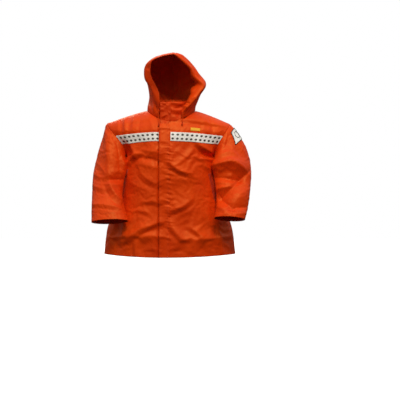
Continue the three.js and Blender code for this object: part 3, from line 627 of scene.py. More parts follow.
# Creases, each a soft ridge (height over 0) or trough (under 0) from one place to another: its
# two ends in millimetres across and up, then its height, its width, the bow of its line, and how
# much steeper its narrower side is.
creases = {
    "front": [
        (-182, -166, -156, -212, 11, 16, 5, 0.45),
        (-156, -212, -204, -270, 11, 16, -6, -0.45),
        (-208, -158, -190, -230, -9, 12, 3, 0.0),
        (-236, -270, -196, -306, 6, 14, 5, 0.5),
        (-150, -194, -50, -204, 4, 26, 6, 0.4),
        (-150, -230, -46, -246, -6, 20, 6, 0.3),
        (-130, -298, -46, -352, 5.5, 24, -9, 0.6),
        (-196, -330, -88, -384, 4, 24, -8, 0.3),
        (-137, -436, -46, -438, 6, 20, 4, 0.65),
        (-158, -476, -98, -487, 4, 15, 3, 0.5),
        (-188, -602, -46, -536, 10, 26, 12, 0.6),
        (-150, -560, -60, -540, 3, 14, -4, 0.4),
        (-250, -604, -46, -600, 8, 28, 4, -0.15),
        (-156, -630, -153, -714, 6, 12, -3, 0.4),
        (-244, -540, -262, -706, -6, 20, 6, 0.3),
        (-214, -500, -226, -620, 4, 20, 5, 0.3),
        (-242, -24, -232, -112, -3, 9, 4, 0.4),
        (-216, -22, -212, -114, 4, 9, 3, 0.4),
        (-192, -14, -194, -112, -3, 8, -3, 0.3),
        (-168, -14, -180, -112, 3, 9, 3, 0.3),
        (-140, -10, -146, -104, -2, 10, 3, 0.4),
        (-104, -20, -80, -100, 2, 13, 6, 0.3),
        (134, -160, 210, -200, 13, 17, -6, 0.55),
        (148, -198, 206, -226, -9, 13, -3, 0.0),
        (160, -230, 216, -242, 9, 12, 3, 0.5),
        (158, -262, 206, -300, 5, 14, 5, 0.4),
        (120, -176, 60, -246, 3, 20, 5, 0.3),
        (6, -256, 98, -302, 10, 20, -8, 0.62),
        (40, -330, 150, -322, 3, 24, 6, 0.3),
        (8, -476, 98, -430, 9, 22, -7, 0.6),
        (40, -500, 120, -470, 3, 18, 5, 0.4),
        (10, -544, 60, -608, 9, 18, -5, 0.5),
        (102, -558, 158, -614, 8, 17, 6, 0.5),
        (28, -612, 250, -604, 8, 28, -5, -0.15),
        (122, -626, 130, -714, 5, 14, -3, 0.3),
        (230, -540, 262, -706, 7, 18, -6, 0.4),
        (204, -480, 226, -600, -4, 16, 5, 0.3),
        (190, -40, 208, -116, -3, 10, 4, 0.3),
        (160, -30, 176, -112, 2, 11, -4, 0.3),
        (96, -40, 60, -104, 2, 14, 5, 0.3),
    ],
    "back": [
        (-206, -166, -124, -262, 9, 15, 9, 0.4),
        (-190, -150, -146, -230, -5, 11, -5, 0.3),
        (206, -168, 126, -258, 10, 14, -8, 0.45),
        (186, -146, 140, -220, -5, 11, 5, 0.3),
        (-112, -60, -152, -150, -5, 12, 5, 0.4),
        (104, -58, 148, -158, -5, 12, -5, 0.4),
        (-150, -322, 10, -360, -8, 13, -9, 0.5),
        (-120, -300, 40, -330, 4, 16, -7, 0.2),
        (40, -298, 180, -344, -8, 12, 8, 0.5),
        (-66, -424, 112, -402, 6, 14, -8, 0.4),
        (-150, -452, -20, -470, -5, 13, -6, 0.4),
        (20, -470, 160, -452, 4, 15, 6, 0.3),
        (-186, -460, -116, -716, 10, 20, 10, 0.4),
        (-150, -520, -96, -716, -6, 18, 8, 0.3),
        (-20, -480, -6, -716, -9, 22, 7, 0.3),
        (24, -520, 40, -716, 6, 18, 6, 0.3),
        (128, -470, 166, -716, 10, 20, -9, 0.4),
        (186, -560, 196, -716, -5, 16, -5, 0.3),
        (234, -530, 252, -706, -7, 17, 6, 0.3),
        (-240, -560, -252, -706, 5, 16, 5, 0.3),
        (-60, -150, 70, -160, -3, 20, 8, 0.3),
    ],
    "sleeve_right": [
        (-302, -110, -284, -326, 11, 30, 4, 0.0),
        (-252, -140, -232, -300, -8, 20, 5, 0.2),
        (-284, -336, -220, -330, -10, 13, 4, 0.2),
        (-284, -342, -226, -430, 10, 18, -8, 0.4),
        (-300, -300, -240, -322, 2.5, 14, -6, 0.4),
        (-344, -250, -296, -318, 2.5, 15, 7, 0.3),
        (-372, -290, -300, -322, 3.5, 17, -7, 0.5),
        (-368, -352, -290, -376, 3.5, 17, -6, 0.5),
        (-356, -448, -240, -462, 5, 16, 5, 0.6),
        (-330, -96, -318, -180, -4, 13, 5, 0.3),
    ],
    "sleeve_left": [
        (214, -264, 306, -246, 15, 26, 5, 0.25),
        (298, -246, 374, -300, 14, 24, 4, 0.25),
        (240, -214, 300, -200, 4, 16, 6, 0.4),
        (222, -322, 336, -330, -10, 15, 3, 0.35),
        (222, -380, 312, -360, 9, 14, 3, -0.1),
        (228, -420, 370, -300, -15, 24, -4, 0.0),
        (226, -418, 300, -464, -12, 20, 4, 0.3),
        (296, -464, 372, -462, -8, 18, 3, 0.3),
        (330, -130, 372, -220, 4, 16, -7, 0.3),
        (280, -110, 262, -190, -5, 12, 5, 0.3),
    ],
    "sleeve_back": [
        (-354, -248, -258, -302, 9, 11, -8, 0.5),
        (-350, -272, -262, -322, -7, 11, -7, 0.3),
        (-358, -328, -268, -344, -7, 11, 6, 0.4),
        (-360, -392, -262, -380, 5, 12, 5, 0.4),
        (-356, -440, -250, -452, -4, 12, -5, 0.3),
        (378, -238, 278, -298, 9, 11, 8, 0.5),
        (372, -262, 280, -320, -7, 11, 7, 0.3),
        (374, -328, 276, -352, -7, 11, -6, 0.4),
        (370, -400, 272, -386, 5, 12, 5, 0.4),
        (366, -446, 268, -458, -4, 12, -5, 0.3),
    ],
    "hood": [
        (-118, 84, -84, -6, -9, 10, 5, 0.5),
        (-100, 104, -70, 22, 9, 11, 5, 0.5),
        (-84, 66, -60, -8, -7, 8, 3, 0.4),
        (-128, 130, -112, 66, 6, 10, -4, 0.4),
        (-124, 30, -72, -22, 8, 8, 5, 0.5),
        (-118, 8, -70, -36, -7, 7, 5, 0.4),
        (124, 40, 84, -18, -9, 9, -4, 0.5),
        (146, 62, 100, 6, 9, 10, -4, 0.5),
        (100, 26, 72, -24, 8, 8, 4, 0.4),
        (118, 4, 84, -34, 7, 7, -3, 0.4),
        (110, -10, 78, -40, -7, 7, -3, 0.4),
        (112, 236, 134, 170, 6, 12, 4, 0.5),
        (70, 256, 112, 214, -5, 11, 3, 0.4),
        (-110, 214, -66, 246, 5, 12, -4, 0.4),
    ],
    "hood_back": [
        (-90, 90, 10, 60, -10, 14, 8, 0.5),
        (90, 110, 10, 90, -9, 14, -8, 0.4),
        (-80, 40, 0, 24, 9, 12, 6, 0.5),
        (84, 50, 20, 30, 9, 12, -6, 0.5),
        (-50, 200, -40, 130, 8, 18, 5, 0.4),
        (-110, 150, -50, 96, 8, 13, 6, 0.5),
        (120, 150, 60, 110, 8, 13, -6, 0.5),
        (60, 210, 50, 150, -7, 16, -5, 0.4),
        (-100, 10, -30, -20, -8, 11, 5, 0.5),
        (100, 16, 40, -14, -8, 11, -5, 0.5),
    ],
}
crease_gain = 1.3


def crease_height(table, spot):
    x = spot[..., 0] * 1000
    z = spot[..., 2] * 1000
    total = np.zeros_like(x)
    for x0, z0, x1, z1, height, width, bow, steep in table:
        run = np.array([x1 - x0, z1 - z0], dtype=float)
        length = np.hypot(*run)
        run /= length
        t = ((x - x0) * run[0] + (z - z0) * run[1]) / length
        off = (x - x0) * -run[1] + (z - z0) * run[0]
        off = off - bow * 4 * t * (1 - t)
        wide = width * (1 + steep * np.tanh(off / width))
        over = np.maximum(0, np.maximum(-t, t - 1)) * length / width
        taper = np.exp(-over ** 2) * (0.55 + 0.45 * np.sin(np.pi * np.clip(t, 0, 1)))
        u = np.abs(off / wide)
        ridge = np.exp(-1.15 * (np.sqrt(u * u + 0.03) - 0.17) - 0.12 * u * u)
        total += crease_gain * height * taper * (ridge - 0.20 * np.exp(-((u - 2.3) / 0.9) ** 2))
    return total


# Small wrinkles strewn evenly over a box, lying mostly along one slant
def strewn(seed, count, box, slant, spread, height, width, length):
    chance = np.random.default_rng(seed)
    table = []
    for _ in range(count):
        x = chance.uniform(box[0], box[1])
        z = chance.uniform(box[2], box[3])
        angle = math.radians(chance.normal(slant, spread))
        half = chance.uniform(0.4, 1.0) * length / 2
        table.append((x - half * math.cos(angle), z - half * math.sin(angle),
                      x + half * math.cos(angle), z + half * math.sin(angle),
                      chance.choice([-1, 1]) * chance.uniform(0.4, 1.0) * height,
                      chance.uniform(0.6, 1.2) * width, chance.normal(0, 5), chance.uniform(0.1, 0.6)))
    return table


# The panel, seed and number of each lot of small wrinkles, their box, slant and spread of slant,
# height, width and length
small_wrinkles = [
    ("front", 3, 46, (-250, 240, -690, -480), 20, 45, 1.2, 8, 80),
    ("front", 5, 60, (-220, 210, -480, -170), 5, 28, 0.9, 8, 80),
    ("front", 6, 26, (-250, 240, -150, -20), 70, 30, 0.7, 8, 70),
    ("back", 7, 60, (-270, 270, -690, -400), 80, 30, 2.4, 9, 90),
    ("back", 8, 50, (-220, 220, -400, -60), 10, 35, 2.2, 9, 80),
    ("sleeve_right", 9, 44, (-370, -210, -520, -110), -20, 35, 1.1, 7, 60),
    ("sleeve_left", 10, 46, (214, 390, -510, -110), 5, 35, 1.1, 7, 60),
    ("sleeve_back", 11, 40, (-370, -210, -520, -110), 15, 30, 1.8, 6, 60),
    ("sleeve_back", 12, 40, (214, 390, -510, -110), -15, 30, 1.8, 6, 60),
    ("hood", 13, 26, (-140, 170, -40, 240), 60, 40, 1.8, 7, 50),
    ("hood_back", 14, 34, (-140, 170, -20, 260), 80, 50, 2.6, 9, 70),
]
for key, *numbers in small_wrinkles:
    creases[key] += strewn(*numbers)

# Which creases each panel has, and whether on its front (-1) or its back (1)
crease_places = {}
for side in sides:
    crease_places[f"front_{side}"] = [("front", -1)]
    crease_places[f"back_{side}"] = [("back", 1)]
    crease_places[f"sleeve_{side}"] = [(f"sleeve_{side}", -1), ("sleeve_back", 1)]
    crease_places[f"hood_{side}"] = [("hood", -1), ("hood_back", 1)]
# The sewn edges of each net: which column or row, and the net's row where the seam starts
front_neck_row = body_steps + len(front_rows)
back_neck_row = body_steps + len(back_rows)
sewn_edges = {
    "front": [("column", -1, 0), ("row", -1, 0), ("column", 0, front_neck_row)],
    "back": [("column", -1, 0), ("row", -1, 0), ("column", 0, back_neck_row)],
    "sleeve": [("row", 0, 0)],
    "hood": [("column", -1, 0), ("row", -1, 0), ("column", 0, 0)],
}
seam_groove = 0.0011


def seam_distance(name, spot):
    away = np.full(spot.shape[:2], 1.0)
    share = (spot.shape[1] - 1) // (nets[name].shape[1] - 1)
    for kind, at, first_row in sewn_edges[name.split("_")[0]]:
        line = spot[:, at][:, None] if kind == "column" else spot[at][None]
        distance = np.linalg.norm(spot - line, axis=2)
        distance[:first_row * share] = 1.0
        away = np.minimum(away, distance)
    return away


def ripples(x, z, seed, pitch):
    chance = np.random.default_rng(seed)
    total = np.zeros_like(x)
    for _ in range(6):
        turn = chance.uniform(0, 2 * np.pi)
        total += np.sin(2 * np.pi * z / (pitch * chance.uniform(0.7, 1.7)) + 1.4 * np.sin(x / pitch) + turn)
    return total / 6


# The cloth is cut a little larger than the shape it is held in, so it buckles between its seams,
# as coated nylon does: the seams, hems and zip edges stay, and the rest may move a few millimetres
cloth_growth = 0.020
furthest_out, furthest_in = 0.008, 0.011
# How firmly the cloth is held, from 0 to 1: away from the seams, over the belly and in each sleeve
loose_hold = 0.19
calm_hold = 0.40
sleeve_hold = {"sleeve_right": 0.50, "sleeve_left": 0.42}
band_middle_row = body_steps + 4
drape_steps = 20
cloth_feel = {
    "quality": 5, "mass": 0.2, "air_damping": 4, "tension_stiffness": 30, "compression_stiffness": 30,
    "shear_stiffness": 15, "bending_stiffness": 3.0, "vertex_group_mass": "held", "pin_stiffness": 1.0,
    "shrink_min": -cloth_growth,
}


def held_weights(places, numbers):
    held = np.zeros(len(places))
    for name, table in numbers.items():
        spot = places[table]
        level = spot[..., 2]
        rows, columns = np.indices(table.shape)
        weights = [1 - (1 - loose_hold) * eased(seam_distance(name, spot), 0.001, 0.030)]
        if name.startswith("sleeve"):
            last = table.shape[0] - 1
            weights += [eased(rows, last - 0.06 * last, last), np.full(table.shape, sleeve_hold[name])]
        else:
            share = (table.shape[1] - 1) / (columns_across + 1)
            weights += [eased(rows, 1.2 * share, 0), 0.7 * eased(level, -0.13, -0.07)]
        if name.startswith("front"):
            belly = eased(level, -0.60, -0.52) * (1 - eased(level, -0.30, -0.24))
            band = np.exp(-((rows / share - band_middle_row) / 1.5) ** 4)
            weights += [calm_hold * belly, 0.8 * band, eased(columns, 1.4 * share, 0)]
        held[table] = np.maximum(held[table], np.max(weights, axis=0))
    return np.clip(held, 0, 1)


def drape(cage, numbers):
    start = read_places(cage.data)
    group = cage.vertex_groups.new(name="held")
    levels = np.rint(held_weights(start, numbers) * 40).astype(int)
    for level in np.unique(levels):
        group.add(np.flatnonzero(levels == level).tolist(), level / 40, "REPLACE")
    cloth = cage.modifiers.new("drape", "CLOTH")
    for key, value in cloth_feel.items():
        setattr(cloth.settings, key, value)
    cloth.settings.effector_weights.gravity = 0.15
    cloth.collision_settings.use_collision = False
    cloth.point_cache.frame_start = 1
    cloth.point_cache.frame_end = drape_steps
    for step in range(drape_steps):
        bpy.context.scene.frame_set(step + 1)
    only(cage)
    bpy.ops.object.modifier_apply(modifier="drape")
    bpy.context.scene.frame_set(1)
    move = read_places(cage.data) - start
    far = np.linalg.norm(move, axis=1)
    outward = (move * read_normals(cage.data)).sum(axis=1) > 0
    limit = np.where(outward, furthest_out, furthest_in)
    kept = limit * np.tanh(far / limit) / np.maximum(far, 1e-9)
    write_places(cage.data, start + move * kept[:, None])


# The cord draws the hood's edge in, in millimetres, and the cloth puffs out behind it
edge_shape_columns = ("at", "drawn_in", "puff")
hood_edge_shape = {
    "right": [(0.00, 0, 0), (0.20, 6, 2), (0.27, 12, 3), (0.37, 17, 4), (0.46, 25, 8), (0.56, 22, 9),
              (0.63, 19, 9), (0.72, 5, 9), (0.82, 0, 9), (1.00, 0, 9)],
    "left": [(0.00, 0, 0), (0.30, 3, 0), (0.41, 6, 2), (0.49, 2, 3), (0.56, 8, 5), (0.63, 11, 6),
             (0.75, 6, 9), (0.85, 2, 20), (0.93, 0, 23), (1.00, 0, 9)],
}
face_middle = np.array([0.017, 0.0, 0.150])


def along_edge(table, columns, count):
    return [np.array([smooth(table, columns, "at", column, at) for at in np.linspace(0, 1, count)])
            for column in columns[1:]]


def to_face(rim):
    return unit((face_middle - rim) * np.array([1, 0, 1]))


def draw_hood_edge(cage, numbers):
    places = read_places(cage.data)
    normals = read_normals(cage.data)
    moved = places.copy()
    for side in sides:
        table = numbers[f"hood_{side}"]
        spot = places[table]
        rim = spot[0]
        drawn_in, puff = along_edge(hood_edge_shape[side], edge_shape_columns, len(rim))
        behind = np.linalg.norm(spot - rim[None], axis=2)
        pull = drawn_in[None] * np.exp(-(behind / 0.020) ** 2)
        push = puff[None] * (1 - np.exp(-(behind / 0.016) ** 2)) * np.exp(-(behind / 0.080) ** 2)
        inward = to_face(rim)[None] * pull[..., None]
        moved[table] = spot + (inward + normals[table] * push[..., None]) * 0.001
    write_places(cage.data, moved)


def crease_panels(cage, numbers):
    places = read_places(cage.data)
    normals = read_normals(cage.data)
    move = np.zeros(len(places))
    for name, table in numbers.items():
        spot = places[table]
        fade = eased(seam_distance(name, spot), 0.004, 0.034)
        depth = np.zeros(table.shape)
        for key, facing in crease_places[name]:
            turned = np.clip(facing * normals[table][..., 1] * 1.7, 0, 1)
            depth += crease_height(creases[key], spot) * turned * fade
        move[table] = depth * 0.001
    write_places(cage.data, places + normals * move[:, None])


# How far the sewing and the arms push the cloth out or in, in millimetres
flap_pucker, flap_dent, hem_pucker, cuff_pucker, head_pucker = 2.6, 6.5, 0.7, 1.1, 1.4
armpit_swell = {"body": 4, "sleeve": 4.5}
armpit_x, armpit_z = 210, {"body": -240, "sleeve": -252}
hem_level = -690
cuff_row = 16.2


# How strongly the flap's stitching pulls at the cloth beside it, from the belly up to the chest
def flap_pull(x, z, reach):
    beside = np.exp(-np.abs(x - flap_edges["left"]) / reach)
    return beside * eased(z, -600, -540) * (1 - eased(z, -190, -150))


# The puckers beside the flap's stitching, the hems, cuffs and seams are pressed into the panels
# along their normals
panels = {}
for part, (cage, numbers) in cages.items():
    if part == "hood":
        draw_hood_edge(cage, numbers)
    crease_panels(cage, numbers)
    if part == "body":
        drape(cage, numbers)
    refine(cage, 1)
    numbers = look_up(cage, list(numbers), fineness)
    mesh = cage.data
    places = read_places(mesh)
    normals = read_normals(mesh)
    move = np.zeros(len(places))
    for name, table in numbers.items():
        spot = places[table]
        away = seam_distance(name, spot)
        x = spot[..., 0] * 1000
        z = spot[..., 2] * 1000
        depth = np.zeros(x.shape)
        if name.startswith("front"):
            depth += flap_pucker * flap_pull(x, z, 15) * ripples(x, z, 21, 17)
            dent = np.exp(-((x - flap_edges["right"] + 6) / 7) ** 2)
            depth -= flap_dent * dent * (1 - eased(z, -110, -60))
        if name.startswith(("front", "back")):
            armpit = np.exp(-((np.abs(x) - armpit_x) / 14) ** 2 - ((z - armpit_z["body"]) / 26) ** 2)
            depth += armpit_swell["body"] * armpit
            hem = np.exp(-((z - hem_level) / 12) ** 2)
            depth += hem_pucker * hem * ripples(z, x, 22, 26)
        if name.startswith("sleeve"):
            rows = np.arange(x.shape[0])[:, None] / fineness
            turns = np.arange(x.shape[1])[None] / (x.shape[1] - 1)
            cuff = np.exp(-((rows - cuff_row) / 0.5) ** 2)
            wave = sum(np.sin(2 * np.pi * turns * n + n * n) for n in (11, 17, 23, 29)) / 4
            depth += cuff_pucker * cuff * wave
            armpit = np.exp(-((np.abs(x) - armpit_x) / 10) ** 2 - ((z - armpit_z["sleeve"]) / 26) ** 2)
            depth += armpit_swell["sleeve"] * armpit
            head = np.exp(-rows / 0.9) * (1 - np.exp(-rows / 0.15))
            depth += head_pucker * head * sum(np.sin(2 * np.pi * turns * n + n) for n in (13, 19, 24)) / 3
        move[table] = depth * 0.001 - seam_groove * np.exp(-(away / 0.0022) ** 2)
    places = places + normals * move[:, None]
    write_places(mesh, places)
    normals = read_normals(mesh)
    for name, table in numbers.items():
        panels[name] = (places[table], normals[table])
    cages[part] = (cage, numbers, places)


def run_lengths(spot):
    across = np.linalg.norm(np.diff(spot, axis=1), axis=2)
    up = np.linalg.norm(np.diff(spot, axis=0), axis=2)
    return across, up


def net_uvs(spot, width=None):
    across, up = run_lengths(spot)
    u = np.concatenate([[0], np.cumsum(across.mean(axis=0))])
    v = np.concatenate([[0], np.cumsum(up.mean(axis=1))])
    if width is not None:
        v = v / v[-1] * width
    return np.dstack(np.meshgrid(u, v))


def weave_height(tree, scale):
    cloth = coordinates(tree, "UV")
    return calculated(tree, "MULTIPLY", *[wave_bands(tree, way, cloth, Scale=scale) for way in ("X", "Y")])


def coated_nylon(name, base, dark, lit, rough, crinkle):
    material, tree, shader = new_material(
        name, rough, Sheen_Weight=0.10, Sheen_Roughness=0.4, Sheen_Tint=(1.0, 0.36, 0.06, 1), IOR=1.38,
        Specular_IOR_Level=0.85, Specular_Tint=(1.0, 0.66, 0.16, 1))
    patches = noise(tree, Scale=5.5, Detail=5.0, Roughness=0.6)
    creased = noise(tree, Scale=58.0, Detail=6.0, Roughness=0.62, Distortion=0.5)
    broad = noise(tree, Scale=17.0, Detail=4.0, Roughness=0.55, Distortion=1.2)
    woven = bump(tree, weave_height(tree, 420.0), 0.15, 0.00015)
    crinkled = bump(tree, creased, 0.35, crinkle, woven)
    soft = bump(tree, broad, 0.35, crinkle * 3.2, crinkled)
    paint(tree, shader, ramp(tree, patches, [(0.28, dark), (0.5, base), (0.74, lit)]), soft)
    shine = ranged(tree, creased, 0.3, 0.7, rough - 0.06, rough + 0.08)
    tree.links.new(shine, shader.inputs["Roughness"])
    return material


shell_outside = coated_nylon("orange coated nylon", (0.76, 0.040, 0.0002), (0.68, 0.029, 0.0001),
                             (0.82, 0.055, 0.0004), 0.50, 0.0018)
shell_inside = coated_nylon("orange nylon reverse", (0.74, 0.042, 0.001), (0.64, 0.032, 0.001),
                            (0.80, 0.050, 0.001), 0.6, 0.0012)
cloth_thickness = 0.0012
casing_width = 0.044


# The hood's edge is turned in, so its inner side shows the outer face of the cloth there
def turn_in_casing(piece, net_name):
    rim = panels[net_name][0][0]
    places = read_places(piece.data)
    for face in piece.data.polygons:
        if face.material_index == 1:
            middle = places[list(face.vertices)].mean(axis=0)
            if np.linalg.norm(rim - middle, axis=1).min() < casing_width:
                face.material_index = 0


# A piece made of the cells of one net, with the cloth's own flat map, its faces turned outwards
def cloth_object(name, places, table, facing, width=None):
    spot = places[table]
    grid = net_uvs(spot, width)
    first = slice(None, -1)
    second = slice(1, None)
    corners = [(first, first), (first, second), (second, second), (second, first)]
    faces = np.stack([table[c] for c in corners], axis=-1).reshape(-1, 4)
    uvs = np.stack([grid[c] for c in corners], axis=2).reshape(-1, 4, 2)
    used, faces = np.unique(faces, return_inverse=True)
    faces = faces.reshape(-1, 4)
    turned = np.cross(spot[:-1, 1:] - spot[:-1, :-1], spot[1:, :-1] - spot[:-1, :-1])
    if (turned * facing[:-1, :-1]).sum() < 0:
        faces = faces[:, ::-1]
        uvs = uvs[:, ::-1]
    mesh = bpy.data.meshes.new(name)
    mesh.from_pydata(places[used].tolist(), [], faces.tolist())
    layer = mesh.uv_layers.new(name="cloth")
    layer.data.foreach_set("uv", np.ascontiguousarray(uvs, dtype=np.float32).ravel())
    return in_scene(name, mesh)


def give_wall(piece, thickness, outside, inside):
    piece.data.materials.append(outside)
    piece.data.materials.append(inside)
    shaped(piece, "SOLIDIFY", thickness=thickness, offset=-1, material_offset=1, material_offset_rim=0)
    bpy.ops.object.shade_smooth()


def net_piece(name, spot, facing, thickness, outside, inside, width=None):
    table = np.arange(spot.shape[0] * spot.shape[1]).reshape(spot.shape[:2])
    piece = cloth_object(name, spot.reshape(-1, 3), table, facing, width)
    give_wall(piece, thickness, outside, inside)
    return piece


for node in ("front_right", "front_left", "back", "sleeve_right", "sleeve_left", "hood_right", "hood_left"):
    _, numbers, places = cages["hood" if node.startswith("hood") else "body"]
    net_names = ["back_right", "back_left"] if node == "back" else [node]
    halves = [cloth_object(f"cloth_{node}", places, numbers[name], panels[name][1]) for name in net_names]
    piece = halves[0]
    if node == "back":
        only(piece)
        halves[1].select_set(True)
        bpy.ops.object.join()
        edit_all(piece)
        bpy.ops.mesh.remove_doubles(threshold=0.00002)
        bpy.ops.object.mode_set(mode="OBJECT")
    give_wall(piece, cloth_thickness, shell_outside, shell_inside)
    if node.startswith("hood"):
        turn_in_casing(piece, node)
    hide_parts(node)
    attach(piece, "root")
for cage, _, _ in cages.values():
    bpy.data.objects.remove(cage, do_unlink=True)


# Collar
# A stand-up collar of two layers of the same nylon, sewn into the neck seam inside the hood. It is crumpled
# where the chin and the drawn hood press on it. Its outer face is coloured a darker red than the shell, as
# painted shade from the hood and chin above it.
collar_size = {"inset": 3.2, "front": 39, "back": 58, "lean_front": 2, "lean_back": 8, "lean_side": 12}
collar_fine = 6


def collar_point(side, turn, rise):
    base = neck_point(side, turn)
    c = sides[side] * math.cos(math.radians(turn))
    s = math.sin(math.radians(turn))
    frontness = (1 + s) / 2
    middle = collar_size["lean_back"] + (collar_size["lean_front"] - collar_size["lean_back"]) * frontness
    out = collar_size["inset"] + (middle + collar_size["lean_side"] * c * c) * rise
    top = collar_size["back"] + (collar_size["front"] - collar_size["back"]) * frontness
    return np.array([base[0] - c * out, base[1] + s * out, base[2] + (top - base[2]) * rise]) * 0.001


def collar_turns():
    turns = []
    for side in ("right", "left"):
        coarse = [neck_corner(side), hood_start[side], *steps(hood_start[side], 0, neck_steps),
                  *steps(0, -90, back_neck_steps)]
        fine = np.interp(np.linspace(0, len(coarse) - 1, (len(coarse) - 1) * collar_fine + 1),
                         np.arange(len(coarse)), coarse)
        line = [(side, turn) for turn in fine]
        turns += line if side == "right" else list(reversed(line))[1:]
    return turns


def net_normals(spot, outward):
    normal = unit(np.cross(np.gradient(spot, axis=1), np.gradient(spot, axis=0)))
    return normal * np.sign((normal * outward).sum())


collar_line = collar_turns()
collar_net = np.array([[collar_point(side, turn, rise) for side, turn in collar_line]
                       for rise in np.linspace(0, 1, 25)])
collar_out = net_normals(collar_net, collar_net - np.array([neck_x * 0.001, -0.01, 0.0]))
collar_creases = [
    (-60, 20, -20, 2, -5, 7, 4, 0.4), (-50, -6, -24, -22, 4, 7, 3, 0.4), (6, 24, 52, 8, -5, 7, -5, 0.4),
    (2, 2, 40, -14, 5, 7, 4, 0.4), (10, -18, 60, -30, -5, 8, 4, 0.3), (20, 34, 60, 26, 4, 7, 4, 0.3),
    (4, -36, 44, -46, 4, 7, -3, 0.3), (30, 14, 46, -34, -4, 6, 4, 0.4), (-40, 34, -34, -20, -3, 6, 3, 0.3),
]
collar_creases += strewn(31, 34, (-110, 120, -45, 55), 20, 50, 2.6, 7, 40)
fade = (eased(np.linspace(0, 1, 25), 0, 0.2) * (1 - 0.6 * eased(np.linspace(0, 1, 25), 0.85, 1)))[:, None]
depth = 2.1 * crease_height(collar_creases, collar_net)
ends = np.minimum(np.arange(len(collar_line)), np.arange(len(collar_line))[::-1])[None]
depth = depth * fade * eased(ends, 0, 8) - 1.2 * fade
collar_net = collar_net + collar_out * depth[..., None] * 0.001
# The collar's outer face is a darker copy of the orange nylon: painted shade under the hood.
collar_painted_shade_nylon = coated_nylon("collar nylon with painted shade", (0.64, 0.023, 0.0006), (0.48, 0.013, 0.0004),
                              (0.80, 0.036, 0.0008), 0.5, 0.0018)
collar = net_piece("cloth_collar", collar_net, collar_out, 0.0014, collar_painted_shade_nylon, shell_inside)
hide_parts("collar")
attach(collar, "root")


# Rolled edge of the hood
# On the left, the drawn cord has rolled the hood's turned-in edge towards the face, so a band of
# its inner side faces forward, as wide as these sizes in millimetres say along the edge.
roll_columns = ("at", "width")
rolled_edge = [(0.00, 2), (0.08, 10), (0.17, 22), (0.29, 38), (0.38, 48), (0.46, 46), (0.54, 33), (0.64, 17),
               (0.78, 8), (1.00, 5)]
roll_steps = 16
rim = panels["hood_left"][0][0]
width = along_edge(rolled_edge, roll_columns, len(rim))[0] * 0.001
inward = to_face(rim)
turn = np.linspace(0, 1, roll_steps)[:, None, None] * math.radians(82)
roll_net = (rim + inward * 0.0006)[None] + width[None, :, None] * (
    inward[None] * np.sin(turn) + np.array([0, 1.15, 0]) * (1 - np.cos(turn)))
roll_out = net_normals(roll_net, np.array([0.0, -1.0, 0.0]) * np.ones_like(roll_net))
roll_creases = [
    (128, 96, 84, 70, -3.2, 7, 4, 0.5), (138, 62, 96, 52, 3.0, 7, -3, 0.5),
    (112, 30, 84, 34, -2.6, 6, 3, 0.4), (124, 122, 92, 106, 2.2, 7, -3, 0.4),
    (96, 12, 70, 22, 2.4, 6, 3, 0.4), (82, -4, 66, 6, -2.0, 5, 2, 0.4),
]
roll_creases += strewn(35, 16, (60, 150, -20, 150), 15, 35, 1.4, 5, 30)
soft_in = eased(np.linspace(0, 1, roll_steps), 0, 0.25)[:, None]
depth = soft_in * crease_height(roll_creases, roll_net)
roll_net = roll_net + roll_out * depth[..., None] * 0.001
roll = net_piece("hood_rolled_edge_left", roll_net, roll_out, cloth_thickness, shell_outside, shell_outside)
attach(roll, "root")


# Zip
# A moulded zip sewn between the two fronts under the flap: its woven tapes as one closed strip,
# two rows of small teeth that lock between each other, and a slider at the top.
zip_top = front_neck_row * fineness
tape_columns = 9
tape_middle = 4
tooth_size = (0.0017, 0.0050, 0.0021)
tooth_pitch = 0.0024
slider_size = (0.0095, 0.0020, 0.0120)


def zip_material():
    material, tree, shader = new_material("woven zip tape", 0.75)
    weave = wave_bands(tree, "DIAGONAL", coordinates(tree, "UV"), Scale=500.0)
    colour = ramp(tree, weave, [(0.1, (0.16, 0.010, 0.003)), (0.9, (0.26, 0.020, 0.004))])
    paint(tree, shader, colour, bump(tree, weave, 0.4, 0.0002))
    return material


# Places at an even pitch along a line, with the way the line runs and the way it faces at each
def spaced(path, facing, pitch, ends=0.0):
    at = np.concatenate([[0], np.cumsum(np.linalg.norm(np.diff(path, axis=0), axis=1))])
    stops = np.linspace(ends, at[-1] - ends, max(2, int((at[-1] - 2 * ends) / pitch)))
    places, ups = [np.stack([np.interp(stops, at, values[:, axis]) for axis in range(3)], axis=1)
                   for values in (path, facing)]
    return places, unit(np.gradient(places, axis=0)), unit(ups)


def copies(name, model, places, ways, ups, material):
    base = read_places(model.data)
    faces = [list(face.vertices) for face in model.data.polygons]
    aside = np.cross(ways, ups)
    points = (places[:, None] + base[None, :, 0:1] * ways[:, None] + base[None, :, 1:2] * aside[:, None]
              + base[None, :, 2:3] * ups[:, None]).reshape(-1, 3)
    all_faces = [[corner + n * len(base) for corner in reversed(face)]
                 for n in range(len(places)) for face in faces]
    mesh = bpy.data.meshes.new(name)
    mesh.from_pydata(points.tolist(), [], all_faces)
    mesh.materials.append(material)
    mesh.shade_smooth()
    return in_scene(name, mesh)


tape_finish = zip_material()
tooth_finish = grained("moulded zip teeth", 0.35, 700.0, 2.0, (0.30, 0.022, 0.004), (0.40, 0.032, 0.006),
                       0.2, 0.0001)
edge_right, edge_left = [panels[f"front_{side}"][0][:zip_top + 1, :1] for side in sides]
shares = np.linspace(0, 1, tape_columns)[None, :, None]
tape_net = edge_right * (1 - shares) + edge_left * shares
tape_out = net_normals(tape_net, np.array([0.0, -1.0, 0.0]))
tape_net = tape_net - tape_out * 0.0007
tape = net_piece("zip_tape", tape_net, tape_out, 0.0006, tape_finish, tape_finish)

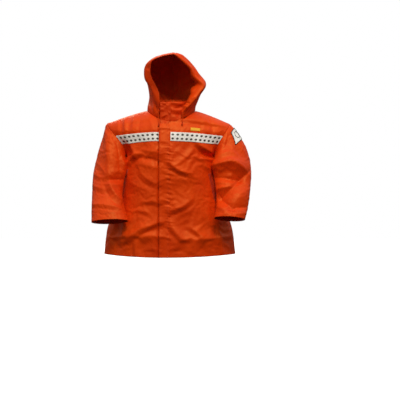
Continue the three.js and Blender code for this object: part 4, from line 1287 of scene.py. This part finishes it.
bpy.ops.mesh.primitive_cube_add(size=1)
tooth = bpy.context.object
bpy.ops.transform.resize(value=tooth_size)
settle(tooth)
edit(tooth, faces=lambda face: face.normal.y > 0.9)
bpy.ops.transform.resize(value=(0.6, 1, 0.8))
edit(tooth, faces=lambda face: face.normal.y < -0.9)
bpy.ops.transform.resize(value=(1.15, 1, 1))
settle(tooth)
shaped(tooth, "BEVEL", width=0.0003, segments=1)
chain = tape_net[:, tape_middle] - tape_out[:, tape_middle] * 0.0005
chain_places, chain_ways, chain_ups = spaced(chain, tape_out[:, tape_middle], tooth_pitch, 0.006)
hand = np.where(np.arange(len(chain_places)) % 2 == 0, 1.0, -1.0)[:, None]
beside = np.cross(chain_ways, chain_ups)
teeth = copies("zip_teeth", tooth, chain_places + beside * hand * 0.0011, chain_ways * hand, chain_ups,
               tooth_finish)
bpy.data.objects.remove(tooth, do_unlink=True)

bpy.ops.mesh.primitive_cube_add(size=1)
slider = bpy.context.object
slider.name = "zip_slider"
bpy.ops.transform.resize(value=slider_size)
settle(slider)
edit(slider, faces=lambda face: face.normal.z < -0.9)
bpy.ops.transform.resize(value=(0.62, 1, 1))
edit(slider, faces=lambda face: face.normal.y > 0.9)
bpy.ops.mesh.inset(thickness=0.0014, depth=0.0005)
settle(slider)
shaped(slider, "BEVEL", width=0.0005, segments=2)
slider.location = chain_places[-3] + np.array([0, 0.0028, 0])
settle(slider)
smooth_by_angle(slider)
slider.data.materials.append(tooth_finish)
for piece in (tape, teeth, slider):
    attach(piece, "root")
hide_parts("zip")


# Storm flap
# A folded strip of the nylon over the zip, sewn down along its left edge, where the long line of stitching
# puckers it, and free along its right edge. It runs on up over the collar. Above the neck its outer face
# takes the collar's darker colour, as painted shade from the hood.
flap_columns = 2 * fineness + 7
flap_lift = 0.0028
flap_thick = 0.0022
# Height above which the flap's outer face is coloured darker, as painted shade under the hood
painted_shade_above = -0.066


def flap_net():
    right, right_out = panels["front_right"]
    left, left_out = panels["front_left"]
    rows = zip_top + 1
    between = np.linspace(0, 1, 7)[None, 1:-1, None]

    def across(at_right, at_left, middle):
        return np.concatenate([at_right[:rows, fineness::-1], middle, at_left[:rows, :fineness + 1]], axis=1)

    body = across(right, left, right[:rows, :1] * (1 - between) + left[:rows, :1] * between)
    out = across(right_out, left_out,
                 unit(right_out[:rows, :1] * (1 - between) + left_out[:rows, :1] * between))
    top = []
    foot = collar_point("right", neck_corner("right"), 0)[2]
    for rise in np.linspace(0, 1, 26)[1:]:
        a = collar_point("right", neck_corner("right"), rise)
        b = collar_point("left", neck_corner("left"), rise)
        y = min(a[1], b[1]) - collar_size["inset"] * 0.001
        settled = eased(rise, 0, 0.5)
        line = body[-1].copy()
        line[:, 1] = line[:, 1] * (1 - settled) + y * settled
        line[:, 2] = line[:, 2] + a[2] - foot
        top.append(line)
    facing = np.broadcast_to(np.array([0.0, -1.0, 0.0]), (len(top), *body.shape[1:]))
    return np.concatenate([body, np.array(top)]), np.concatenate([out, facing])


flap_middle, flap_out = flap_net()
for _ in range(3):
    flap_out[1:-1] = (flap_out[:-2] + flap_out[1:-1] + flap_out[2:]) / 3
    flap_out[:, 1:-1] = (flap_out[:, :-2] + flap_out[:, 1:-1] + flap_out[:, 2:]) / 3
flap_out = unit(flap_out)
x = flap_middle[..., 0] * 1000
z = flap_middle[..., 2] * 1000
sewn = flap_pull(x, z, 13)
free = np.exp(-np.abs(x - flap_edges["right"]) / 10)
below_hood = 1 - eased(z, -110, -40)
curl = np.exp(-np.abs(x - flap_edges["right"]) / 8)
wave = 1.3 * free * ripples(x * 0, z, 25, 95)
wave += 7.0 * curl * below_hood
wave += 2.0 * curl * eased(z, -110, -40)
groove = -0.7 * np.exp(-((x - flap_edges["left"] + 3.5) / 1.6) ** 2) - 0.35 * np.exp(
    -((x - flap_edges["right"] - 4.5) / 1.6) ** 2)
puckers = 1.5 * sewn * ripples(x, z, 21, 17)
across_top = 2.2 * np.exp(-((z + 88 + (x + 20) * 0.06) / 5) ** 2) - 1.2 * np.exp(-((z + 98) / 5) ** 2)
flap_creases = [(-40, -150, -2, -160, 1.6, 8, 2, 0.4), (-40, -176, -4, -168, -1.8, 8, 2, 0.4),
                (-42, -338, -4, -326, 1.4, 9, 3, 0.4), (-40, -424, 0, -436, 1.4, 10, 3, 0.4),
                (-40, -548, -6, -562, -1.6, 9, 3, 0.4), (-42, -600, 0, -606, 1.8, 9, 2, 0.4),
                (-40, -240, -20, -300, 0.9, 9, 2, 0.4), (-40, 20, 0, 6, 1.5, 8, 2, 0.3)]
flap_creases += strewn(32, 16, (-46, 6, -66, 46), 15, 50, 2.6, 7, 34)
height = np.maximum(-0.3, wave + groove + puckers + across_top + crease_height(flap_creases, flap_middle))
flap_surface = flap_middle + flap_out * (flap_lift + height * 0.001)[..., None]
flap = net_piece("cloth_storm_flap", flap_surface, flap_out, flap_thick, shell_outside, shell_inside)
# Faces high on the flap take the collar's darker nylon as painted shade under the hood.
flap.data.materials.append(collar_painted_shade_nylon)
for face in flap.data.polygons:
    if face.material_index == 0 and face.center.z > painted_shade_above:
        face.material_index = 2
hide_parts("storm_flap")
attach(flap, "root")


# Reflective bands
# White reflective tape with two rows of small oval marks, laid on each front below the shoulder
# and sewn along both edges. It stops at the flap and at the armhole.
band_row = body_steps + 3
band_width = 0.040
band_first_column = 1.12
mark_pitch = 0.0228
mark_row_gap = 0.0178
mark_width = 0.0126
mark_height = 0.0092


def on_panel(name, rows, columns, lift=0.0):
    spot, facing = panels[name]
    r = np.clip(np.asarray(rows, dtype=float) * fineness, 0, spot.shape[0] - 1.0001)
    c = np.clip(np.asarray(columns, dtype=float) * fineness, 0, spot.shape[1] - 1.0001)
    i = r.astype(int)
    j = c.astype(int)
    u = (r - i)[..., None]
    v = (c - j)[..., None]

    def between(values):
        return (values[i, j] * (1 - u) * (1 - v) + values[i + 1, j] * u * (1 - v)
                + values[i, j + 1] * (1 - u) * v + values[i + 1, j + 1] * u * v)

    normal = unit(between(facing))
    return between(spot) + normal * lift, normal


def lying_net(name, row0, row1, column0, column1, lift, down, across):
    columns, rows = np.meshgrid(np.linspace(column0, column1, across), np.linspace(row0, row1, down))
    return on_panel(name, rows, columns, lift)


def marks(tree, cloth):
    parts = add_node(tree, "ShaderNodeSeparateXYZ", None, cloth).outputs
    along_tape = calculated(tree, "MODULO", parts["X"], mark_pitch)
    along_tape = calculated(tree, "SUBTRACT", along_tape, mark_pitch / 2)
    along_tape = calculated(tree, "DIVIDE", along_tape, mark_width / 2)
    across_tape = calculated(tree, "SUBTRACT", parts["Y"], band_width / 2)
    across_tape = calculated(tree, "ABSOLUTE", across_tape)
    across_tape = calculated(tree, "SUBTRACT", across_tape, mark_row_gap / 2)
    across_tape = calculated(tree, "DIVIDE", across_tape, mark_height / 2)
    square = calculated(tree, "ADD", calculated(tree, "MULTIPLY", along_tape, along_tape),
                        calculated(tree, "MULTIPLY", across_tape, across_tape))
    return ranged(tree, square, 0.8, 1.25, 1.0, 0.0)


def reflective_material():
    material, tree, shader = new_material("white reflective tape", 0.38)
    cloth = coordinates(tree, "UV")
    grain = noise(tree, Scale=46.0, Detail=5.0)
    mix = add_node(tree, "ShaderNodeMix", {"data_type": "RGBA"})
    tree.links.new(marks(tree, cloth), mix.inputs["Factor"])
    white = ramp(tree, grain, [(0.3, (0.82, 0.80, 0.76)), (0.7, (0.92, 0.90, 0.86))])
    tree.links.new(white, mix.inputs[6])
    mix.inputs[7].default_value = (0.040, 0.026, 0.014, 1)
    beads = add_node(tree, "ShaderNodeTexVoronoi", None, cloth, Scale=1500.0).outputs["Distance"]
    fine = bump(tree, beads, 0.12, 0.0002)
    paint(tree, shader, mix.outputs[2], bump(tree, grain, 0.2, 0.002, fine))
    return material


band_finish = reflective_material()
band_lift = 0.0013
for side in sides:
    name = f"front_{side}"
    spot, normal = lying_net(name, band_row, band_row + 2, band_first_column, columns_across + 1,
                             band_lift, 17, 90)
    spot[:, -1] = spot[:, -2] * 0.4 + spot[:, -1] * 0.6
    band = net_piece(f"reflective_band_{side}", spot, normal, 0.0006, band_finish, band_finish, band_width)
    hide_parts(f"band_{side}")
    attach(band, "root")


# Pockets
# Each front has an upright pocket near its side seam, closed by a narrow water-tight zip set between two
# raised lips. The lips and the zip's coil are coloured a darker red than the shell, as painted shade in the
# pocket's opening.
welts = {
    "right": {"row0": 9.6, "row1": 14.8, "column0": 7.8, "column1": 8.4},
    "left": {"row0": 9.1, "row1": 14.1, "column0": 7.45, "column1": 8.1},
}
welt_lips = (0.24, 0.76)
# The lips and coil are a darker copy of the orange: painted shade in the welt.
welt_painted_shade_finish = grained("pocket lip with painted shade", 0.5, 160.0, 5.0, (0.42, 0.022, 0.003), (0.56, 0.034, 0.004),
                      0.3, 0.0006)
for side, place in welts.items():
    name = f"front_{side}"
    down = 70
    shares = np.linspace(0, 1, 17)
    profile = 0.0012 + sum(0.0012 * np.exp(-((shares - lip) / 0.17) ** 2) for lip in welt_lips)
    rows = np.linspace(place["row0"], place["row1"], down)[:, None] * np.ones((1, 17))
    columns = place["column0"] + (place["column1"] - place["column0"]) * shares[None] * np.ones((down, 1))
    ends = np.minimum(np.arange(down), np.arange(down)[::-1])[:, None]
    spot, normal = on_panel(name, rows, columns)
    lift = 0.0010 + (profile[None] - 0.0010) * eased(ends, 0, 3)
    spot = spot + normal * lift[..., None]
    welt = net_piece(f"pocket_{side}", spot, normal, 0.0008, welt_painted_shade_finish, welt_painted_shade_finish)
    middle, out = on_panel(name, rows[3:-3, 8], columns[3:-3, 8], 0.0016)
    bpy.ops.mesh.primitive_uv_sphere_add(segments=6, ring_count=4, radius=1)
    bead = bpy.context.object
    bpy.ops.transform.resize(value=(0.0009, 0.0016, 0.0005))
    settle(bead)
    coil = copies(f"pocket_zip_{side}", bead, *spaced(middle, out, 0.0026), welt_painted_shade_finish)
    bpy.data.objects.remove(bead, do_unlink=True)
    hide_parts(f"welt_{side}")
    for piece in (welt, coil):
        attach(piece, "root")


# Chest tab and sleeve patch
# A small plain woven tab on the left breast and a plain woven patch with a dark bound edge at
# the top of the left sleeve, both sewn flat onto the cloth.
def woven_material(name, low, high, scale):
    material, tree, shader = new_material(name, 0.7)
    weave = weave_height(tree, scale)
    paint(tree, shader, ramp(tree, weave, [(0.1, low), (0.6, high)]), bump(tree, weave, 0.5, 0.0003))
    return material


tab_finish = woven_material("yellow woven tab", (0.88, 0.40, 0.008), (0.98, 0.56, 0.015), 380.0)
patch_finish = woven_material("white woven patch", (0.84, 0.84, 0.82), (0.94, 0.94, 0.92), 380.0)
dark_thread = woven_material("dark bound edge", (0.020, 0.017, 0.016), (0.045, 0.040, 0.036), 500.0)
# Rows and columns of the net that each is sewn on
tab_rows = (22.46, 23.1)
tab_columns = (4.2, 5.7)
spot, normal = lying_net("front_left", *tab_rows, *tab_columns, 0.0013, 12, 30)
tab = net_piece("chest_tab_cloth", spot, normal, 0.0006, tab_finish, tab_finish)
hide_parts("chest_tab")
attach(tab, "root")

patch_rows = (1.0, 3.3)
patch_columns = (7.6, 12.8)
spot, normal = lying_net("sleeve_left", *patch_rows, *patch_columns, 0.0017, 30, 40)
patch = net_piece("sleeve_patch_cloth", spot, normal, 0.0008, patch_finish, patch_finish)


# A rope of thread laid along a closed line, used for a bound edge
def laid_rope(name, path, radius):
    count = len(path)
    way = unit(np.roll(path, -1, axis=0) - np.roll(path, 1, axis=0))
    up = unit(np.cross(way, np.array([0.31, 0.52, 0.79])))
    aside = np.cross(way, up)
    turns = np.linspace(0, 2 * np.pi, 8, endpoint=False)[None, :, None]
    rings = path[:, None] + radius * (np.cos(turns) * up[:, None] + np.sin(turns) * aside[:, None])
    faces = []
    for n in range(count):
        ahead = (n + 1) % count * 8
        for k in range(8):
            beside = (k + 1) % 8
            faces.append([n * 8 + k, n * 8 + beside, ahead + beside, ahead + k])
    mesh = bpy.data.meshes.new(name)
    mesh.from_pydata(rings.reshape(-1, 3).tolist(), [], faces)
    mesh.materials.append(dark_thread)
    rope = in_scene(name, mesh)
    edit_all(rope)
    bpy.ops.mesh.normals_make_consistent(inside=False)
    settle(rope)
    bpy.ops.object.shade_smooth()
    return rope


r0, r1 = patch_rows
c0, c1 = patch_columns
outline_rows = np.concatenate([np.full(40, r0), np.linspace(r0, r1, 26)[:-1], np.full(40, r1),
                               np.linspace(r1, r0, 26)[:-1]])
outline_columns = np.concatenate([np.linspace(c0, c1, 41)[:-1], np.full(25, c1),
                                  np.linspace(c1, c0, 41)[:-1], np.full(25, c0)])
edge_line, _ = on_panel("sleeve_left", outline_rows, outline_columns, 0.0018)
bound = laid_rope("patch_edge", edge_line, 0.0017)
middle_row = (r0 + r1) / 2
middle_column = (c0 + c1) / 2
ring_turns = np.linspace(0, 2 * np.pi, 48, endpoint=False)
ring_line, _ = on_panel("sleeve_left", middle_row + 0.62 * np.sin(ring_turns),
                        middle_column + 1.30 * np.cos(ring_turns), 0.0019)
ring = laid_rope("patch_ring", ring_line, 0.0013)
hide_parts("sleeve_patch")
for piece in (patch, bound, ring):
    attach(piece, "root")


# Stitching
# Rows of lock stitches in thread of the cloth's colour hold the hems, the casing round the
# hood, the flap and the pockets, and rows of white stitches hold the reflective tape.
orange_thread = grained("orange sewing thread", 0.6, 1800.0, 2.0, (0.46, 0.030, 0.003), (0.62, 0.046, 0.004),
                        0.4, 0.0002)
white_thread = grained("white sewing thread", 0.6, 1800.0, 2.0, (0.66, 0.64, 0.60), (0.80, 0.79, 0.75),
                       0.4, 0.0002)
stitch_pitch = 0.0036
stitch_half_size = (0.00145, 0.00042, 0.00036)
hem_row_distances = (0.017, 0.0035)
stitched = {"orange": [], "white": []}
bpy.ops.mesh.primitive_uv_sphere_add(segments=5, ring_count=3, radius=1)
stitch = bpy.context.object
bpy.ops.transform.resize(value=stitch_half_size)
settle(stitch)


# The line on a panel at this distance from one of its edges, between two shares of that edge
def edge_line_on(name, edge, distance, first=0.0, last=1.0):
    spot = panels[name][0]
    sideways = edge in ("first", "last")
    if sideways:
        spot = spot.swapaxes(0, 1)
    run = run_lengths(spot)[1]
    far_end = edge in ("top", "last")
    if far_end:
        run = run[::-1]
    at = np.vstack([np.zeros(run.shape[1]), np.cumsum(run, axis=0)])
    found = np.array([np.interp(distance, at[:, n], np.arange(len(at))) for n in range(at.shape[1])])
    if far_end:
        found = len(at) - 1 - found
    lines = np.arange(at.shape[1], dtype=float)
    some = slice(int(first * (len(lines) - 1)), int(last * (len(lines) - 1)) + 1)
    rows, columns = (lines, found) if sideways else (found, lines)
    return on_panel(name, rows[some] / fineness, columns[some] / fineness, 0.00015)


def sew(colour, line, facing, pitch=stitch_pitch):
    stitched[colour].append(spaced(line, facing, pitch, 0.002))


for name in ("front_right", "front_left", "back_right", "back_left"):
    for distance in hem_row_distances:
        sew("orange", *edge_line_on(name, "bottom", distance))
edge_rows = [("sleeve", "top", 0.034), ("sleeve", "top", 0.030), ("hood", "bottom", 0.020),
             ("hood", "bottom", 0.003), ("hood", "last", 0.004), ("front", "top", 0.004)]
for side in sides:
    for name, edge, distance in edge_rows:
        sew("orange", *edge_line_on(f"{name}_{side}", edge, distance))
    arm_first = body_steps / (nets[f"front_{side}"].shape[0] - 1)
    sew("orange", *edge_line_on(f"front_{side}", "last", 0.005, arm_first, 1))
    sew("orange", *edge_line_on(f"back_{side}", "last", 0.005, arm_first, 1))
    for share in (0.06, 0.94):
        line, out = on_panel(f"front_{side}", band_row + 2 * share * np.ones(80),
                             np.linspace(1.16, columns_across + 0.95, 80), band_lift + 0.0001)
        sew("white", line, out)
    place = welts[side]
    gap = 0.14 * (place["column1"] - place["column0"])
    for column in (place["column0"] - gap, place["column1"] + gap):
        line, out = on_panel(f"front_{side}", np.linspace(place["row0"], place["row1"], 60),
                             column * np.ones(60), 0.0002)
        sew("orange", line, out)
for column in (2, flap_columns - 3, flap_columns - 5):
    sew("orange", flap_surface[3:-3, column] + flap_out[3:-3, column] * 0.0001, flap_out[3:-3, column])
top_row = collar_net[-3]
sew("orange", top_row + collar_out[-3] * 0.0001, collar_out[-3])
for row in (22.5, 23.06):
    line, out = on_panel("front_left", row * np.ones(30), np.linspace(4.24, 5.66, 30), 0.0014)
    sew("orange", line, out, 0.0028)
for colour, finish in (("orange", orange_thread), ("white", white_thread)):
    places_all, ways_all, ups_all = (np.concatenate(parts) for parts in zip(*stitched[colour]))
    sewing = copies(f"stitching_{colour}", stitch, places_all, ways_all, ups_all, finish)
    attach(sewing, "root")
bpy.data.objects.remove(stitch, do_unlink=True)


# Eyelets
# A small pressed metal ring lines the hole in the hood's hem that each drawcord comes out of.
eyelet_radius = 0.0031
eyelet_wire = 0.0008
eyelet_finish = grained("painted eyelet", 0.35, 800.0, 3.0, (0.28, 0.020, 0.006), (0.40, 0.035, 0.010),
                        0.2, 0.0001, Metallic=0.6)
for side, stops in cord_routes.items():
    exit_place = np.array(stops[0]) * 0.001
    spot, facing = panels[f"hood_{side}"]
    gap = np.linalg.norm(spot - exit_place, axis=2)
    i, j = np.unravel_index(gap.argmin(), gap.shape)
    normal = facing[i, j]
    bpy.ops.mesh.primitive_torus_add(major_segments=24, minor_segments=8, major_radius=eyelet_radius,
                                     minor_radius=eyelet_wire)
    eyelet = bpy.context.object
    eyelet.name = f"eyelet_{side}"
    lean = math.acos(max(-1.0, min(1.0, float(normal[2]))))
    heading = math.atan2(float(normal[1]), float(normal[0]))
    eyelet.rotation_euler = (0, lean, heading)
    eyelet.location = spot[i, j] + normal * 0.0003
    settle(eyelet)
    bpy.ops.object.shade_smooth()
    eyelet.data.materials.append(eyelet_finish)
    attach(eyelet, "root")


# Floor and light
# A plain pale floor, a soft lamp above and before the coat, a weaker one to its side, one behind.
# The surround is white to look at and lights the coat mostly from above, so that its folds show.
bpy.ops.mesh.primitive_plane_add(size=40, location=(0, 8, -1.28))
floor = bpy.context.object
floor.name = "floor"
floor_material = new_material("pale floor", 0.9, Base_Color=(0.90, 0.90, 0.90, 1), Emission_Strength=0.75,
                              Specular_IOR_Level=0.1, Emission_Color=(1, 1, 1, 1))[0]
floor.data.materials.append(floor_material)
floor.visible_diffuse = False
floor.visible_glossy = False

bpy.context.scene.view_settings.view_transform = "Standard"
world = bpy.data.worlds.new("surround")
bpy.context.scene.world = world
world.use_nodes = True
world_tree = world.node_tree
seen = world_tree.nodes["Background"]
seen.inputs["Color"].default_value = (1, 1, 1, 1)
seen.inputs["Strength"].default_value = 1.0
shed = add_node(world_tree, "ShaderNodeBackground", Color=(1.0, 0.94, 0.84, 1))
upward = add_node(world_tree, "ShaderNodeSeparateXYZ", None, coordinates(world_tree, "Generated"))
sky = ranged(world_tree, upward.outputs["Z"], 0.0, 0.85, 0.05, 0.95)
world_tree.links.new(sky, shed.inputs["Strength"])
path = world_tree.nodes.new("ShaderNodeLightPath")
either = world_tree.nodes.new("ShaderNodeMixShader")
world_tree.links.new(path.outputs["Is Camera Ray"], either.inputs["Fac"])
world_tree.links.new(shed.outputs["Background"], either.inputs[1])
world_tree.links.new(seen.outputs["Background"], either.inputs[2])
world_tree.links.new(either.outputs["Shader"], world_tree.nodes["World Output"].inputs["Surface"])


def soft_lamp(name, place, target, power, size, colour):
    lamp_data = bpy.data.lights.new(name, "AREA")
    lamp_data.color = colour
    lamp_data.energy = power
    lamp_data.size = size
    lamp = in_scene(name, lamp_data)
    lamp.location = place
    away = np.array(place) - np.array(target)
    lamp.rotation_euler = (math.atan2(math.hypot(away[0], away[1]), away[2]),
                           0, math.atan2(away[0], -away[1]))


soft_lamp("key_lamp", (0.6, -2.5, 2.45), (0, 0, -0.35), 70, 0.9, (1.0, 0.95, 0.88))
soft_lamp("side_lamp", (-2.2, -3.6, 0.8), (0, 0, -0.3), 10, 1.4, (1.0, 0.94, 0.86))
soft_lamp("back_lamp", (-1.2, 3.6, 1.9), (0, 0, -0.3), 40, 1.4, (1.0, 0.80, 0.55))
